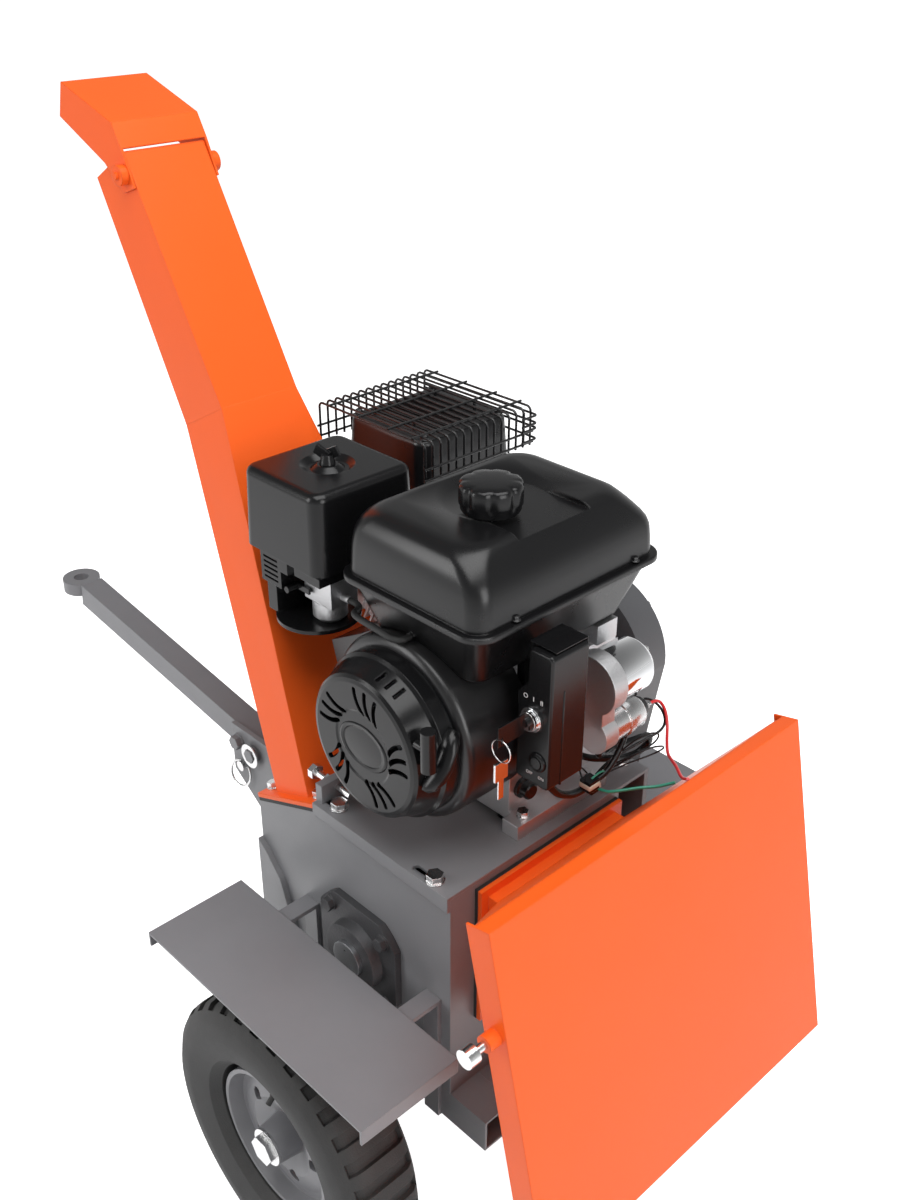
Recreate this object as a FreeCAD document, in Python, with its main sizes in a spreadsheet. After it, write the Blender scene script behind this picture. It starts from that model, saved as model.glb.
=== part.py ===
import FreeCAD, Part
import math
import os
from types import SimpleNamespace

import Sketcher

# A towable wood chipper with a petrol engine. Millimetres, +Z up, the feed hopper at +X, the drawbar at -X
# and the belt drive at +Y. The origin is on the ground, at the middle of the machine's outer box.

VECTOR = FreeCAD.Vector
doc = FreeCAD.newDocument("wood_chipper")

# ---------------------------------------------------------------------------------------------------------
# Driving dimensions
# ---------------------------------------------------------------------------------------------------------

DRIVING = {
    # wheels and axle
    "wheel_radius": 200, "tyre_width": 108, "rim_radius": 104, "track_half": 340, "axle_x": 290,
    "hub_half": 40, "hub_radius": 30, "stub_radius": 15, "spacer_radius": 24, "mudguard_length": 424,
    "mudguard_width": 146, "mudguard_inner": 250, "mudguard_gap": 24, "mudguard_sheet": 3, "mudguard_lip": 22,
    # chassis of square tube
    "tube": 50, "tube_wall": 3, "rail_y": 175, "rail_rear": 55, "rail_front": 500, "cross_rear": 105,
    "cross_front": 455,
    # drum housing, all walls of plate
    "housing_rear": 65, "housing_front": 437, "housing_left": -200, "housing_right": 100, "housing_height": 320,
    "side_plate": 8, "wall_plate": 6, "flange_rise": 256, "flange_angle": 22, "flange_length": 132,
    "chute_window": 80, "window_start": 28, "neck_height": 182, "neck_top_gap": 19,
    # cutting drum
    "drum_x": 275, "drum_height": 135, "drum_radius": 125, "drum_bore_wall": 25, "drum_end_gap": 4,
    "drum_web": 20, "drum_hub": 42, "shaft_radius": 25, "knife_reach": 2.5, "knife_thick": 12, "knife_width": 66,
    "belly_gap": 5.5, "belly_sheet": 4, "anvil_thick": 12,
    # bearings and running fits
    "bearing_square": 146, "bearing_flange": 10, "bearing_depth": 24, "bearing_boss": 46, "running_fit": 0.05,
    # engine deck
    "deck_sheet": 5, "deck_rear": 190, "deck_front": 437, "deck_right": 160, "skirt_rear": 17, "skirt_front": 22,
    "slot_width": 11, "slot_length": 42, "bolt_edge": 16,
    # belt drive
    "crank_x": 307, "crank_rise": 150, "crank_radius": 12.7, "clutch_radius": 60, "drum_pulley_radius": 45,
    "pulley_start": 175, "pulley_width": 38, "belt_width": 12, "belt_depth": 8, "belt_pitch": 17,
    "guard_back": 170, "guard_depth": 50, "guard_sheet": 3, "guard_top_radius": 98, "guard_low_radius": 78,
    "guard_sink": 26,
    # discharge chute
    "chute_margin": 12, "chute_low_depth": 75, "chute_top_width": 120, "kink_depth": 100, "kink_height": 452,
    "chute_lean": 28, "upper_length": 340, "upper_lean": 30, "outlet_depth": 84, "chute_sheet": 3,
    "gasket_thick": 5, "chute_flange": 6,
    # feed hopper and tray
    "neck_flange": 12, "neck_length": 14, "hopper_sheet": 3, "mouth_low_x": 694, "mouth_low_z": 292,
    "mouth_lean": 12.4, "mouth_slant": 438, "mouth_half": 262, "mouth_collar": 25, "mouth_y": -40,
    "tray_sheet": 3, "tray_lip": 30, "tray_gap": 1, "hinge_drop": 9, "hinge_radius": 8,
    # drawbar
    "drawbar_y": -50, "drawbar_tube": 40, "drawbar_pivot_x": -124, "drawbar_pivot_z": 449, "drawbar_angle": 8,
    "bracket_plate": 8, "pivot_radius": 8, "bracket_gap": 0.5, "eye_radius": 32, "eye_bore": 13,
    "eye_thick": 22, "pin_radius": 5, "leg_x": -55, "leg_pivot_z": 350, "leg_tube": 34, "foot_size": 90,
    # engine
    "tank_rear": 205, "tank_front": 442, "tank_left": 166, "tank_right": 152, "tank_lip": 320, "tank_upper": 85,
    "tank_lower": 80, "tank_inset": 26, "tank_corner": 30, "tank_shoulder": 48, "tank_chamfer": 34,
    "lip_reach": 9, "lip_thick": 7, "cap_radius": 38, "cap_height": 24, "cap_x": 338, "cap_y": -43,
    "well_x": 316, "well_y": -10, "well_radius": 68, "well_depth": 3.5,
    "shroud_radius": 117, "shroud_front": -160, "shroud_depth": 100,
    "recoil_radius": 104, "recoil_depth": 55, "recoil_wall": 2.6, "recoil_groups": 5,
    "recoil_face": 0.87,
    "cleaner_x": 29, "cleaner_length": 151, "cleaner_y": -167, "cleaner_width": 159, "cleaner_base": 298,
    "cleaner_height": 104,
    "muffler_x": -29, "muffler_length": 157, "muffler_y": 47, "muffler_width": 166, "muffler_base": 305,
    "muffler_height": 90, "guard_wires": 15, "wire_radius": 1.6, "guard_drop": 54, "guard_rise": 13,
    "starter_x": 446, "starter_rise": 195, "starter_radius": 34, "starter_y": 22, "starter_length": 80,
    "key_box_x": 430, "key_box_y": -90, "key_box_width": 51, "key_box_depth": 58, "key_box_base": 115,
    "key_box_height": 177, "foot_height": 20,
}

sheet = doc.addObject("Spreadsheet::Sheet", "sizes")
for row, (alias, amount) in enumerate(DRIVING.items(), start=1):
    sheet.set(f"A{row}", alias)
    sheet.set(f"B{row}", str(amount))
    sheet.setAlias(f"B{row}", alias)
doc.recompute()


class Size:
    """A length or angle that is known both as a number and as a formula on the sheet."""

    def __init__(self, text, amount):
        self.text = text
        self.amount = float(amount)

    def __float__(self):
        return self.amount

    def __add__(self, other):
        other = sized(other)
        return Size(f"({self.text} + {other.text})", self.amount + other.amount)

    def __sub__(self, other):
        other = sized(other)
        return Size(f"({self.text} - {other.text})", self.amount - other.amount)

    def __mul__(self, other):
        other = sized(other)
        return Size(f"({self.text} * {other.text})", self.amount * other.amount)

    def __truediv__(self, other):
        other = sized(other)
        return Size(f"({self.text} / {other.text})", self.amount / other.amount)

    def __radd__(self, other):
        return sized(other) + self

    def __rsub__(self, other):
        return sized(other) - self

    def __rmul__(self, other):
        return sized(other) * self

    def __neg__(self):
        return Size(f"(0 - {self.text})", -self.amount)


def sized(value):
    return value if isinstance(value, Size) else Size(f"({value})", value)


def cosine(angle):
    return Size(f"cos({angle.text} * 1 deg)", math.cos(math.radians(float(angle))))


def sine(angle):
    return Size(f"sin({angle.text} * 1 deg)", math.sin(math.radians(float(angle))))


def point(x, y, z):
    return VECTOR(float(x), float(y), float(z))


d = SimpleNamespace(**{alias: Size(f"sizes.{alias}", sheet.get(alias)) for alias in DRIVING})

# Levels and places that follow from the driving dimensions
rail_top = d.wheel_radius + d.tube * 1.5
rail_low = rail_top - d.tube
deck_top = rail_top + d.housing_height + d.deck_sheet
drum_z = rail_top + d.drum_height
crank_z = deck_top + d.crank_rise
lip_z = deck_top + d.tank_lip
flange_z = rail_top + d.flange_rise
starter_z = deck_top + d.starter_rise
housing_middle = (d.housing_left + d.housing_right) / 2
shaft_bore = d.shaft_radius + d.running_fit

# ---------------------------------------------------------------------------------------------------------
# Building blocks
# ---------------------------------------------------------------------------------------------------------

TURNS = {
    "X": FreeCAD.Rotation(VECTOR(0, 1, 0), 90),
    "Y": FreeCAD.Rotation(VECTOR(1, 0, 0), -90),
    "Z": FreeCAD.Rotation(),
    "-X": FreeCAD.Rotation(VECTOR(0, 1, 0), -90),
    "-Y": FreeCAD.Rotation(VECTOR(1, 0, 0), 90),
    "-Z": FreeCAD.Rotation(VECTOR(1, 0, 0), 180),
}
nodes = {}
count = 0


def unique(stem):
    global count
    count += 1
    return f"{stem}_{count}"


def bind(thing, **sizes):
    for prop, value in sizes.items():
        thing.setExpression(prop, sized(value).text)
    return thing


def seat(thing, x=0, y=0, z=0, turn=None):
    """Put an object at a place bound to the sheet; turn is a Rotation, or an axis with a bound angle."""
    thing.Placement = FreeCAD.Placement(point(x, y, z), turn if isinstance(turn, FreeCAD.Rotation) else
                                        FreeCAD.Rotation(turn[0], 1) if turn else FreeCAD.Rotation())
    for axis, value in zip("xyz", (x, y, z)):
        thing.setExpression(f"Placement.Base.{axis}", sized(value).text)
    if isinstance(turn, tuple):
        thing.setExpression("Placement.Rotation.Angle", sized(turn[1]).text)
    return thing


def block(x, y, z, stem="block"):
    """A box between two values on each axis."""
    box = doc.addObject("Part::Box", unique(stem))
    bind(box, Length=sized(x[1]) - x[0], Width=sized(y[1]) - y[0], Height=sized(z[1]) - z[0])
    return seat(box, x[0], y[0], z[0])


def rod(x, y, z, radius, length, along="Z", stem="rod"):
    bar = doc.addObject("Part::Cylinder", unique(stem))
    bind(bar, Radius=radius, Height=length)
    return seat(bar, x, y, z, TURNS[along])


def cone(x, y, z, radius, end_radius, length, along="Z", stem="cone"):
    taper = doc.addObject("Part::Cone", unique(stem))
    bind(taper, Radius1=radius, Radius2=end_radius, Height=length)
    return seat(taper, x, y, z, TURNS[along])


def hexagon(x, y, z, across, length, along="Z", stem="hexagon"):
    prism = doc.addObject("Part::Prism", unique(stem))
    prism.Polygon = 6
    bind(prism, Circumradius=sized(across) / math.sqrt(3), Height=length)
    return seat(prism, x, y, z, TURNS[along])


def joined(*things, stem="joined"):
    if len(things) == 1:
        return things[0]
    whole = doc.addObject("Part::MultiFuse", unique(stem))
    whole.Shapes = list(things)
    whole.Refine = True
    return whole


def without(base, *tools, stem="cut"):
    trimmed = doc.addObject("Part::Cut", unique(stem))
    trimmed.Base = base
    trimmed.Tool = joined(*tools)
    trimmed.Refine = True
    return trimmed


def common(base, tool, stem="common"):
    shared = doc.addObject("Part::Common", unique(stem))
    shared.Base = base
    shared.Tool = tool
    return shared


def shaped(shape, stem="shape"):
    thing = doc.addObject("Part::Feature", unique(stem))
    thing.Shape = shape
    return thing


def group(*things, stem="group"):
    """Several separate solids kept in one node."""
    whole = doc.addObject("Part::Compound", unique(stem))
    whole.Links = list(things)
    return whole


def node(name, thing):
    thing.Label = name
    nodes[name] = thing
    return thing


def new_body(stem):
    body = doc.addObject("PartDesign::Body", unique(stem))
    planes = {feature.Role: feature for feature in body.Origin.OriginFeatures}
    return body, planes


def sketch_on(body, plane, offset=0):
    sketch = body.newObject("Sketcher::SketchObject", unique("sketch"))
    sketch.AttachmentSupport = [(plane, "")]
    sketch.MapMode = "FlatFace"
    sketch.AttachmentOffset = FreeCAD.Placement(VECTOR(0, 0, float(sized(offset))), FreeCAD.Rotation())
    sketch.setExpression("AttachmentOffset.Base.z", sized(offset).text)
    return sketch


def fix_point(sketch, geometry, end, x, y):
    """Dimension one sketch point from the origin in both directions, bound to the sheet."""
    for kind, value in (("DistanceX", x), ("DistanceY", y)):
        number = sketch.addConstraint(Sketcher.Constraint(kind, -1, 1, geometry, end, float(sized(value))))
        sketch.setExpression(f"Constraints[{number}]", sized(value).text)


def fix_radius(sketch, geometry, radius):
    number = sketch.addConstraint(Sketcher.Constraint("Radius", geometry, float(sized(radius))))
    sketch.setExpression(f"Constraints[{number}]", sized(radius).text)


def draw_outline(sketch, corners):
    """A closed outline of straight edges through the corners."""
    spots = [VECTOR(float(sized(x)), float(sized(y)), 0) for x, y in corners]
    edges = [Part.LineSegment(spots[i], spots[(i + 1) % len(spots)]) for i in range(len(spots))]
    first = sketch.addGeometry(edges, False)[0]
    for i, (x, y) in enumerate(corners):
        after = first + (i + 1) % len(spots)
        sketch.addConstraint(Sketcher.Constraint("Coincident", first + i, 2, after, 1))
        fix_point(sketch, first + i, 1, x, y)


def draw_arc_slot(sketch, centre, path_radius, half_width, start, end):
    """A slot that follows an arc, with round ends."""
    middle = VECTOR(float(sized(centre[0])), float(sized(centre[1])), 0)
    up = VECTOR(0, 0, 1)
    radius, half = float(sized(path_radius)), float(sized(half_width))
    ends = [middle + VECTOR(math.cos(angle), math.sin(angle), 0) * radius for angle in (start, end)]
    arcs = [
        Part.ArcOfCircle(Part.Circle(middle, up, radius + half), start, end),
        Part.ArcOfCircle(Part.Circle(middle, up, radius - half), start, end),
        Part.ArcOfCircle(Part.Circle(ends[0], up, half), start + math.pi, start + 2 * math.pi),
        Part.ArcOfCircle(Part.Circle(ends[1], up, half), end, end + math.pi),
    ]
    first = sketch.addGeometry(arcs, False)[0]
    sketch.addConstraint(Sketcher.Constraint("Coincident", first, 3, first + 1, 3))
    for side, side_end, cap, cap_end in ((0, 1, 2, 2), (1, 1, 2, 1), (0, 2, 3, 1), (1, 2, 3, 2)):
        sketch.addConstraint(Sketcher.Constraint("Tangent", first + side, side_end, first + cap, cap_end))
    fix_radius(sketch, first, sized(path_radius) + half_width)
    fix_radius(sketch, first + 2, half_width)
    fix_point(sketch, first, 3, *centre)
    for cap, spot in ((2, ends[0]), (3, ends[1])):
        sketch.addConstraint(Sketcher.Constraint("DistanceX", -1, 1, first + cap, 3, spot.x))


def pad(body, sketch, length, reverse=False, symmetric=False, taper=0):
    feature = body.newObject("PartDesign::Pad", unique("pad"))
    feature.Profile = sketch
    feature.Reversed = reverse
    if symmetric:
        feature.SideType = "Symmetric"
    if taper:
        feature.TaperAngle = taper
    return bind(feature, Length=length)


def pocket(body, sketch, reverse=False):
    feature = body.newObject("PartDesign::Pocket", unique("pocket"))
    feature.Profile = sketch
    feature.Type = "ThroughAll"
    feature.Reversed = reverse
    return feature


def polar(body, planes, feature, copies, axis="Z_Axis"):
    pattern = body.newObject("PartDesign::PolarPattern", unique("pattern"))
    pattern.Originals = feature if isinstance(feature, list) else [feature]
    pattern.Axis = (planes[axis], [""])
    pattern.Angle = 360
    bind(pattern, Occurrences=copies)
    body.Tip = pattern
    return pattern


def extruded(plane, corners, start, end, stem="plate"):
    """A plate whose outline lies on one of the origin planes, between two levels along its normal."""
    body, planes = new_body(stem)
    against = plane == "XZ_Plane"
    sketch = sketch_on(body, planes[plane], -sized(start) if against else start)
    draw_outline(sketch, corners)
    pad(body, sketch, sized(end) - start, reverse=against)
    return body


def turned(corners, x=0, y=0, z=0, along="Z", stem="turned"):
    """A solid of revolution: corners are (radius, distance along the axis)."""
    body, planes = new_body(stem)
    sketch = sketch_on(body, planes["XZ_Plane"])
    draw_outline(sketch, corners)
    feature = body.newObject("PartDesign::Revolution", unique("revolution"))
    feature.Profile = sketch
    feature.ReferenceAxis = (planes["Z_Axis"], [""])
    feature.Angle = 360
    seat(body, x, y, z, TURNS[along])
    return body


def softened(body, radius, chosen):
    """Round the edges of a body that the test picks."""
    doc.recompute()
    tip = body.Tip
    names = [f"Edge{i}" for i, edge in enumerate(tip.Shape.Edges, start=1) if chosen(edge)]
    feature = body.newObject("PartDesign::Fillet", unique("fillet"))
    feature.Base = (tip, names)
    return bind(feature, Radius=radius)


def rounded(thing, radius, chosen, stem="rounded"):
    """A fillet on the chosen edges of a Part shape."""
    doc.recompute()
    fillet = doc.addObject("Part::Fillet", unique(stem))
    fillet.Base = thing
    fillet.Edges = [(index, float(radius), float(radius))
                    for index, edge in enumerate(thing.Shape.Edges, 1) if chosen(edge)]
    return fillet


def round_path(spots, radii, tube_radius):
    """A round tube along straight runs that are joined by tangent arcs."""
    edges = []
    here = spots[0]
    for before, corner, after, radius in zip(spots, spots[1:], spots[2:], radii):
        into = (corner - before).normalize()
        out = (after - corner).normalize()
        turn = into.getAngle(out)
        setback = radius * math.tan(turn / 2)
        start, end = corner - into * setback, corner + out * setback
        inward = (out - into).normalize()
        middle = corner + inward * (radius / math.cos(turn / 2) - radius)
        edges += [Part.LineSegment(here, start).toShape(), Part.Arc(start, middle, end).toShape()]
        here = end
    edges.append(Part.LineSegment(here, spots[-1]).toShape())
    path = Part.Wire(edges)
    ring = Part.Wire(Part.Circle(spots[0], (spots[1] - spots[0]).normalize(), tube_radius).toShape())
    return path.makePipeShell([ring], True, False)


def even_radii(spots):
    """The bend radius at each corner: 0.45 of the shorter run over the tangent of half the turn."""
    radii = []
    for before, corner, after in zip(spots, spots[1:], spots[2:]):
        into, out = corner - before, after - corner
        radii.append(0.45 * min(into.Length, out.Length) / math.tan(into.getAngle(out) / 2))
    return radii


def cord(name, spots, tube_radius):
    spots = [VECTOR(*spot) for spot in spots]
    radii = even_radii(spots)
    print(name, "bend radii", [round(radius, 1) for radius in radii])
    return node(name, shaped(round_path(spots, radii, float(tube_radius)), name))


def faceted(lower, upper, mirrored=()):
    """A solid between two outlines of equal count; each side is split into two flat facets."""
    faces = []
    total = len(lower)
    for i in range(total):
        a, b = lower[i], lower[(i + 1) % total]
        c, e = upper[(i + 1) % total], upper[i]
        parts = [(a, b, e), (b, c, e)] if i in mirrored else [(a, b, c), (a, c, e)]
        faces += [Part.Face(Part.makePolygon(list(part) + [part[0]])) for part in parts]
    faces.append(Part.Face(Part.makePolygon(list(lower) + [lower[0]])))
    faces.append(Part.Face(Part.makePolygon(list(upper) + [upper[0]])))
    shell = Part.Shell(faces)
    shell.sewShape()
    solid = Part.Solid(shell)
    if solid.Volume < 0:
        solid.reverse()
    return solid


def bolt(x, y, z, size, shank, along="Z", washer=True, head=None):
    """A flange bolt: its shank runs back from the seat, the head stands out along the axis."""
    opposite = {"X": "-X", "Y": "-Y", "Z": "-Z", "-X": "X", "-Y": "Y", "-Z": "Z"}[along]
    step = {"X": (1, 0, 0), "Y": (0, 1, 0), "Z": (0, 0, 1),
            "-X": (-1, 0, 0), "-Y": (0, -1, 0), "-Z": (0, 0, -1)}
    size = sized(size)
    rise = size * 0.2
    up = [part * rise for part in step[along]]
    head = head or size * 0.75
    pieces = [hexagon(sized(x) + up[0], sized(y) + up[1], sized(z) + up[2], size * 1.7, head, along)]
    pieces.append(rod(x, y, z, size * (1.1 if washer else 0.85), rise, along))
    if shank:
        pieces.append(rod(x, y, z, size / 2, shank, opposite))
    return joined(*pieces, stem="bolt")

# ---------------------------------------------------------------------------------------------------------
# Chassis: rails, cross tubes, axle, wheels and mudguards
# ---------------------------------------------------------------------------------------------------------

half_tube = d.tube / 2


def square_tube(x, y, z, along):
    """Square tube with open ends between two values on each axis."""
    wall = d.tube_wall
    outer = block(x, y, z)
    inside = [spread if axis == along else (sized(spread[0]) + wall, sized(spread[1]) - wall)
              for axis, spread in zip("XYZ", (x, y, z))]
    return without(outer, block(*inside))


node("rails", group(*[
    square_tube((d.rail_rear, d.rail_front), (middle - half_tube, middle + half_tube), (rail_low, rail_top), "X")
    for middle in (-d.rail_y, d.rail_y)]))

rail_inner = d.rail_y - half_tube
node("cross_members", group(*[
    square_tube((x - half_tube, x + half_tube), (-rail_inner, rail_inner), (rail_low, rail_top), "Y")
    for x in (d.cross_rear, d.cross_front)]))

# The axle beam crosses under the rails; a stub, a spacer and an end nut hold each wheel.
beam_half = d.rail_y + d.tube
hub_inner = d.track_half - d.hub_half
hub_outer = d.track_half + d.hub_half
end_play = 0.3
washer_thick = 4
nut_height = 9
axle = [square_tube((d.axle_x - half_tube, d.axle_x + half_tube), (-beam_half, beam_half),
                    (rail_low - d.tube, rail_low), "Y")]
for along, side in (("Y", 1), ("-Y", -1)):
    axle.append(rod(d.axle_x, (beam_half - 30) * side, d.wheel_radius, d.stub_radius,
                    hub_outer - beam_half + 30 + end_play + washer_thick, along))
    axle.append(rod(d.axle_x, (beam_half - d.tube_wall) * side, d.wheel_radius, d.spacer_radius,
                    hub_inner - beam_half - end_play + d.tube_wall, along))
    axle.append(rod(d.axle_x, (hub_outer + end_play) * side, d.wheel_radius, d.spacer_radius + 2, washer_thick,
                    along))
    axle.append(hexagon(d.axle_x, (hub_outer + end_play + washer_thick) * side, d.wheel_radius, 36, nut_height,
                        along))
node("axle_beam", joined(*axle))


def wheel(side, name):
    """A pneumatic tyre on a pressed rim with a central hub."""
    half = d.tyre_width / 2
    shoulder = d.wheel_radius - 14
    sides = [(d.rim_radius, -half * 0.62), (d.rim_radius + 14, -half * 0.86), (shoulder - 26, -half),
             (shoulder, -half * 0.9), (d.wheel_radius - 3, -half * 0.7), (d.wheel_radius, -half * 0.46)]
    mirrored = [(radius, -across) for radius, across in reversed(sides)]
    along = "Y" if side > 0 else "-Y"
    tyre = turned(sides + mirrored, d.axle_x, d.track_half * side, d.wheel_radius, along, stem="tyre")
    node(f"tyre_{name}", tyre)

    bore = d.stub_radius + d.running_fit
    rim_edge = half * 0.62
    profile = [(bore, -d.hub_half), (d.hub_radius, -d.hub_half), (d.hub_radius, 2), (d.rim_radius * 0.55, 14),
               (d.rim_radius - 22, 8), (d.rim_radius - 16, -rim_edge + 6), (d.rim_radius - 6, -rim_edge),
               (d.rim_radius, -rim_edge), (d.rim_radius, rim_edge), (d.rim_radius - 6, rim_edge),
               (d.rim_radius - 12, 14), (d.rim_radius - 20, 14), (d.rim_radius * 0.55, 20),
               (d.hub_radius, 8), (d.hub_radius - 4, d.hub_half), (bore, d.hub_half)]
    rim = turned(profile, d.axle_x, d.track_half * side, d.wheel_radius, along, stem="rim")
    planes = {feature.Role: feature for feature in rim.Origin.OriginFeatures}
    holes = sketch_on(rim, planes["XY_Plane"])
    circle = holes.addGeometry(Part.Circle(VECTOR(float(d.rim_radius) * 0.6, 0, 0), VECTOR(0, 0, 1), 9), False)
    fix_point(holes, circle, 3, d.rim_radius * 0.6, 0)
    fix_radius(holes, circle, 9)
    cut = pocket(rim, holes, reverse=True)
    polar(rim, planes, cut, 5)
    node(f"rim_{name}", rim)


wheel(-1, "left")
wheel(1, "right")

mudguard_top = d.wheel_radius * 2 + d.mudguard_gap + d.mudguard_sheet * 2
guard_end = d.guard_back + d.guard_depth
mudguard_outer = d.mudguard_inner + d.mudguard_width
for side, name, inner_edge in ((-1, "left", d.mudguard_inner), (1, "right", d.mudguard_inner)):
    inner, outer = inner_edge * side, mudguard_outer * side
    spread = (outer, inner) if side < 0 else (inner, outer)
    rear = d.axle_x - d.mudguard_length / 2
    front = d.axle_x + d.mudguard_length / 2
    top = block((rear, front), spread, (mudguard_top - d.mudguard_sheet, mudguard_top))
    lips = [block((rear, rear + d.mudguard_sheet), spread, (mudguard_top - d.mudguard_lip, mudguard_top)),
            block((front - d.mudguard_sheet, front), spread, (mudguard_top - d.mudguard_lip, mudguard_top))]
    # Two posts stand on the rail's outer face; each turns outward into an arm under the sheet.
    posts = []
    arm_thick = 6
    rail_face = (d.rail_y + half_tube) * side
    for x in (d.axle_x - 118, d.axle_x + 118):
        across = (rail_face, rail_face + arm_thick * side)
        under = mudguard_top - d.mudguard_sheet
        low, high = (across[1], across[0]) if side < 0 else across
        posts.append(block((x - 13, x + 13), (low, high), (rail_low, under)))
        reach = (outer - 12 * side, rail_face) if side < 0 else (rail_face, outer - 12 * side)
        posts.append(block((x - 13, x + 13), reach, (under - arm_thick, under)))
    node(f"mudguard_{name}", joined(top, *lips, *posts))

# ---------------------------------------------------------------------------------------------------------
# Drum housing and what it holds
# ---------------------------------------------------------------------------------------------------------

housing_top = rail_top + d.housing_height
left_inner = d.housing_left + d.side_plate
right_inner = d.housing_right - d.side_plate
rear_slope = sine(d.flange_angle) / cosine(d.flange_angle)
step_x = d.deck_rear + d.deck_sheet
side_outline = [
    (d.housing_rear, rail_top), (d.housing_front, rail_top), (d.housing_front, housing_top),
    (step_x, housing_top), (step_x, flange_z - 6 + (step_x - d.housing_rear) * rear_slope),
    (d.housing_rear, flange_z - 6),
]
walls = [extruded("XZ_Plane", side_outline, start, start + d.side_plate)
         for start in (d.housing_left, right_inner)]
walls.append(block((d.housing_rear, d.housing_rear + d.wall_plate), (left_inner, right_inner),
                   (rail_top, flange_z - 6)))

# The neck window is cut in the front wall above the bed knife.
neck_top = housing_top - d.neck_top_gap
neck_low = neck_top - d.neck_height
neck_left, neck_right = d.housing_left + 52, d.housing_right - 18
front_wall = block((d.housing_front - d.side_plate, d.housing_front), (left_inner, right_inner),
                   (rail_top, housing_top))
window = block((d.housing_front - d.side_plate - 1, d.housing_front + 1), (neck_left, neck_right),
               (neck_low, neck_top))
walls.append(without(front_wall, window))

# The belly is a half pipe round the drum, from the bed knife to the throat on the chute side.
belly_inner = d.drum_radius + d.belly_gap
belly_outer = belly_inner + d.belly_sheet
anvil_top = drum_z - 18
anvil_low = anvil_top - d.anvil_thick
belly_width = right_inner - left_inner
pipe = without(rod(d.drum_x, left_inner, drum_z, belly_outer, belly_width, "Y"),
               rod(d.drum_x, left_inner, drum_z, belly_inner, belly_width, "Y"))
above = block((d.drum_x - belly_outer * 1.2, d.drum_x + belly_outer * 1.2), (left_inner - 1, right_inner + 1),
              (anvil_low, drum_z + belly_outer * 1.2))
walls.append(without(pipe, above))
belly_end = d.drum_x - belly_outer + 5
throat = [(belly_end, anvil_low - 10), (belly_end + 5, anvil_low - 10), (d.housing_rear + 24, flange_z),
          (d.housing_rear + 19, flange_z)]
walls.append(extruded("XZ_Plane", throat, left_inner, right_inner))

# The sloping top flange has the chute's window; everything on it is drawn flat and then tilted.
tilt = (VECTOR(0, 1, 0), -d.flange_angle)
tilt_rotation = FreeCAD.Rotation(VECTOR(0, 1, 0), -float(d.flange_angle))
flange_left, flange_right = d.housing_left, d.housing_right
window_y = (d.housing_left + d.chute_margin, d.housing_right - d.chute_margin)
window_x = (d.window_start, d.window_start + d.chute_window)
bolt_spots = [(d.window_start / 2 - 2, flange_left + 22), (d.window_start / 2 - 2, housing_middle),
              (d.window_start / 2 - 2, flange_right - 22),
              (d.flange_length - 11, flange_left + 22), (d.flange_length - 11, housing_middle),
              (d.flange_length - 11, flange_right - 22)]
bolt_size = 10


def sloping_plate(low, high, stem):
    """A plate on the tilted flange, with the chute's window and the bolt holes."""
    plate = block((0, d.flange_length), (flange_left, flange_right), (low, high))
    holes = [block(window_x, window_y, (low - 1, high + 1))]
    holes += [rod(x, y, low - 1, bolt_size / 2 + 0.5, sized(high) - low + 2) for x, y in bolt_spots]
    return seat(without(plate, *holes, stem=stem), d.housing_rear, 0, flange_z, tilt)


walls.append(sloping_plate(-6, 0, "top_flange"))

# A curved lug on the left face ties the housing to the rail.
lug_rise = 196
lug = extruded("XZ_Plane", [(d.housing_rear, rail_top), (d.housing_rear + 88, rail_top),
                            (d.housing_rear + 62, rail_top + 96), (d.housing_rear + 44, rail_top + 150),
                            (d.housing_rear + 16, rail_top + lug_rise - 14),
                            (d.housing_rear, rail_top + lug_rise)],
               d.housing_left - 8, d.housing_left)
softened(lug, 24, lambda edge: edge.Length < 8.01 and abs(edge.tangentAt(0).y) > 0.99
         and float(rail_top) + 60 < edge.Vertexes[0].Point.z < float(rail_top) + 185)
walls.append(lug)
shaft_hole = rod(d.drum_x, d.housing_left - 10, drum_z, d.shaft_radius + 6,
                 d.housing_right - d.housing_left + 20, "Y")
node("drum_housing", without(joined(*walls), shaft_hole))

# Bed knife across the front of the drum, bevelled at the cutting edge
anvil_tip = d.drum_x + d.drum_radius + d.knife_reach + 2.5
anvil_back = d.housing_front - d.side_plate
node("bed_knife", extruded("XZ_Plane", [(anvil_tip + 5, anvil_low), (anvil_back, anvil_low),
                                        (anvil_back, anvil_top), (anvil_tip, anvil_top)],
                           left_inner, right_inner))

# Plate on the drive side, from the rail to the deck; it carries the outer bearing and the belt guard.
plate_outer = d.deck_right
plate_inner = plate_outer - d.side_plate
plate_outline = [(step_x, rail_top), (d.deck_front, rail_top), (d.deck_front, housing_top),
                 (step_x, housing_top)]
drive_plate = extruded("XZ_Plane", plate_outline, plate_inner, plate_outer)
node("drive_plate", without(drive_plate, rod(d.drum_x, plate_inner - 1, drum_z, d.shaft_radius + 6,
                                             d.side_plate + 2, "Y")))


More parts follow.
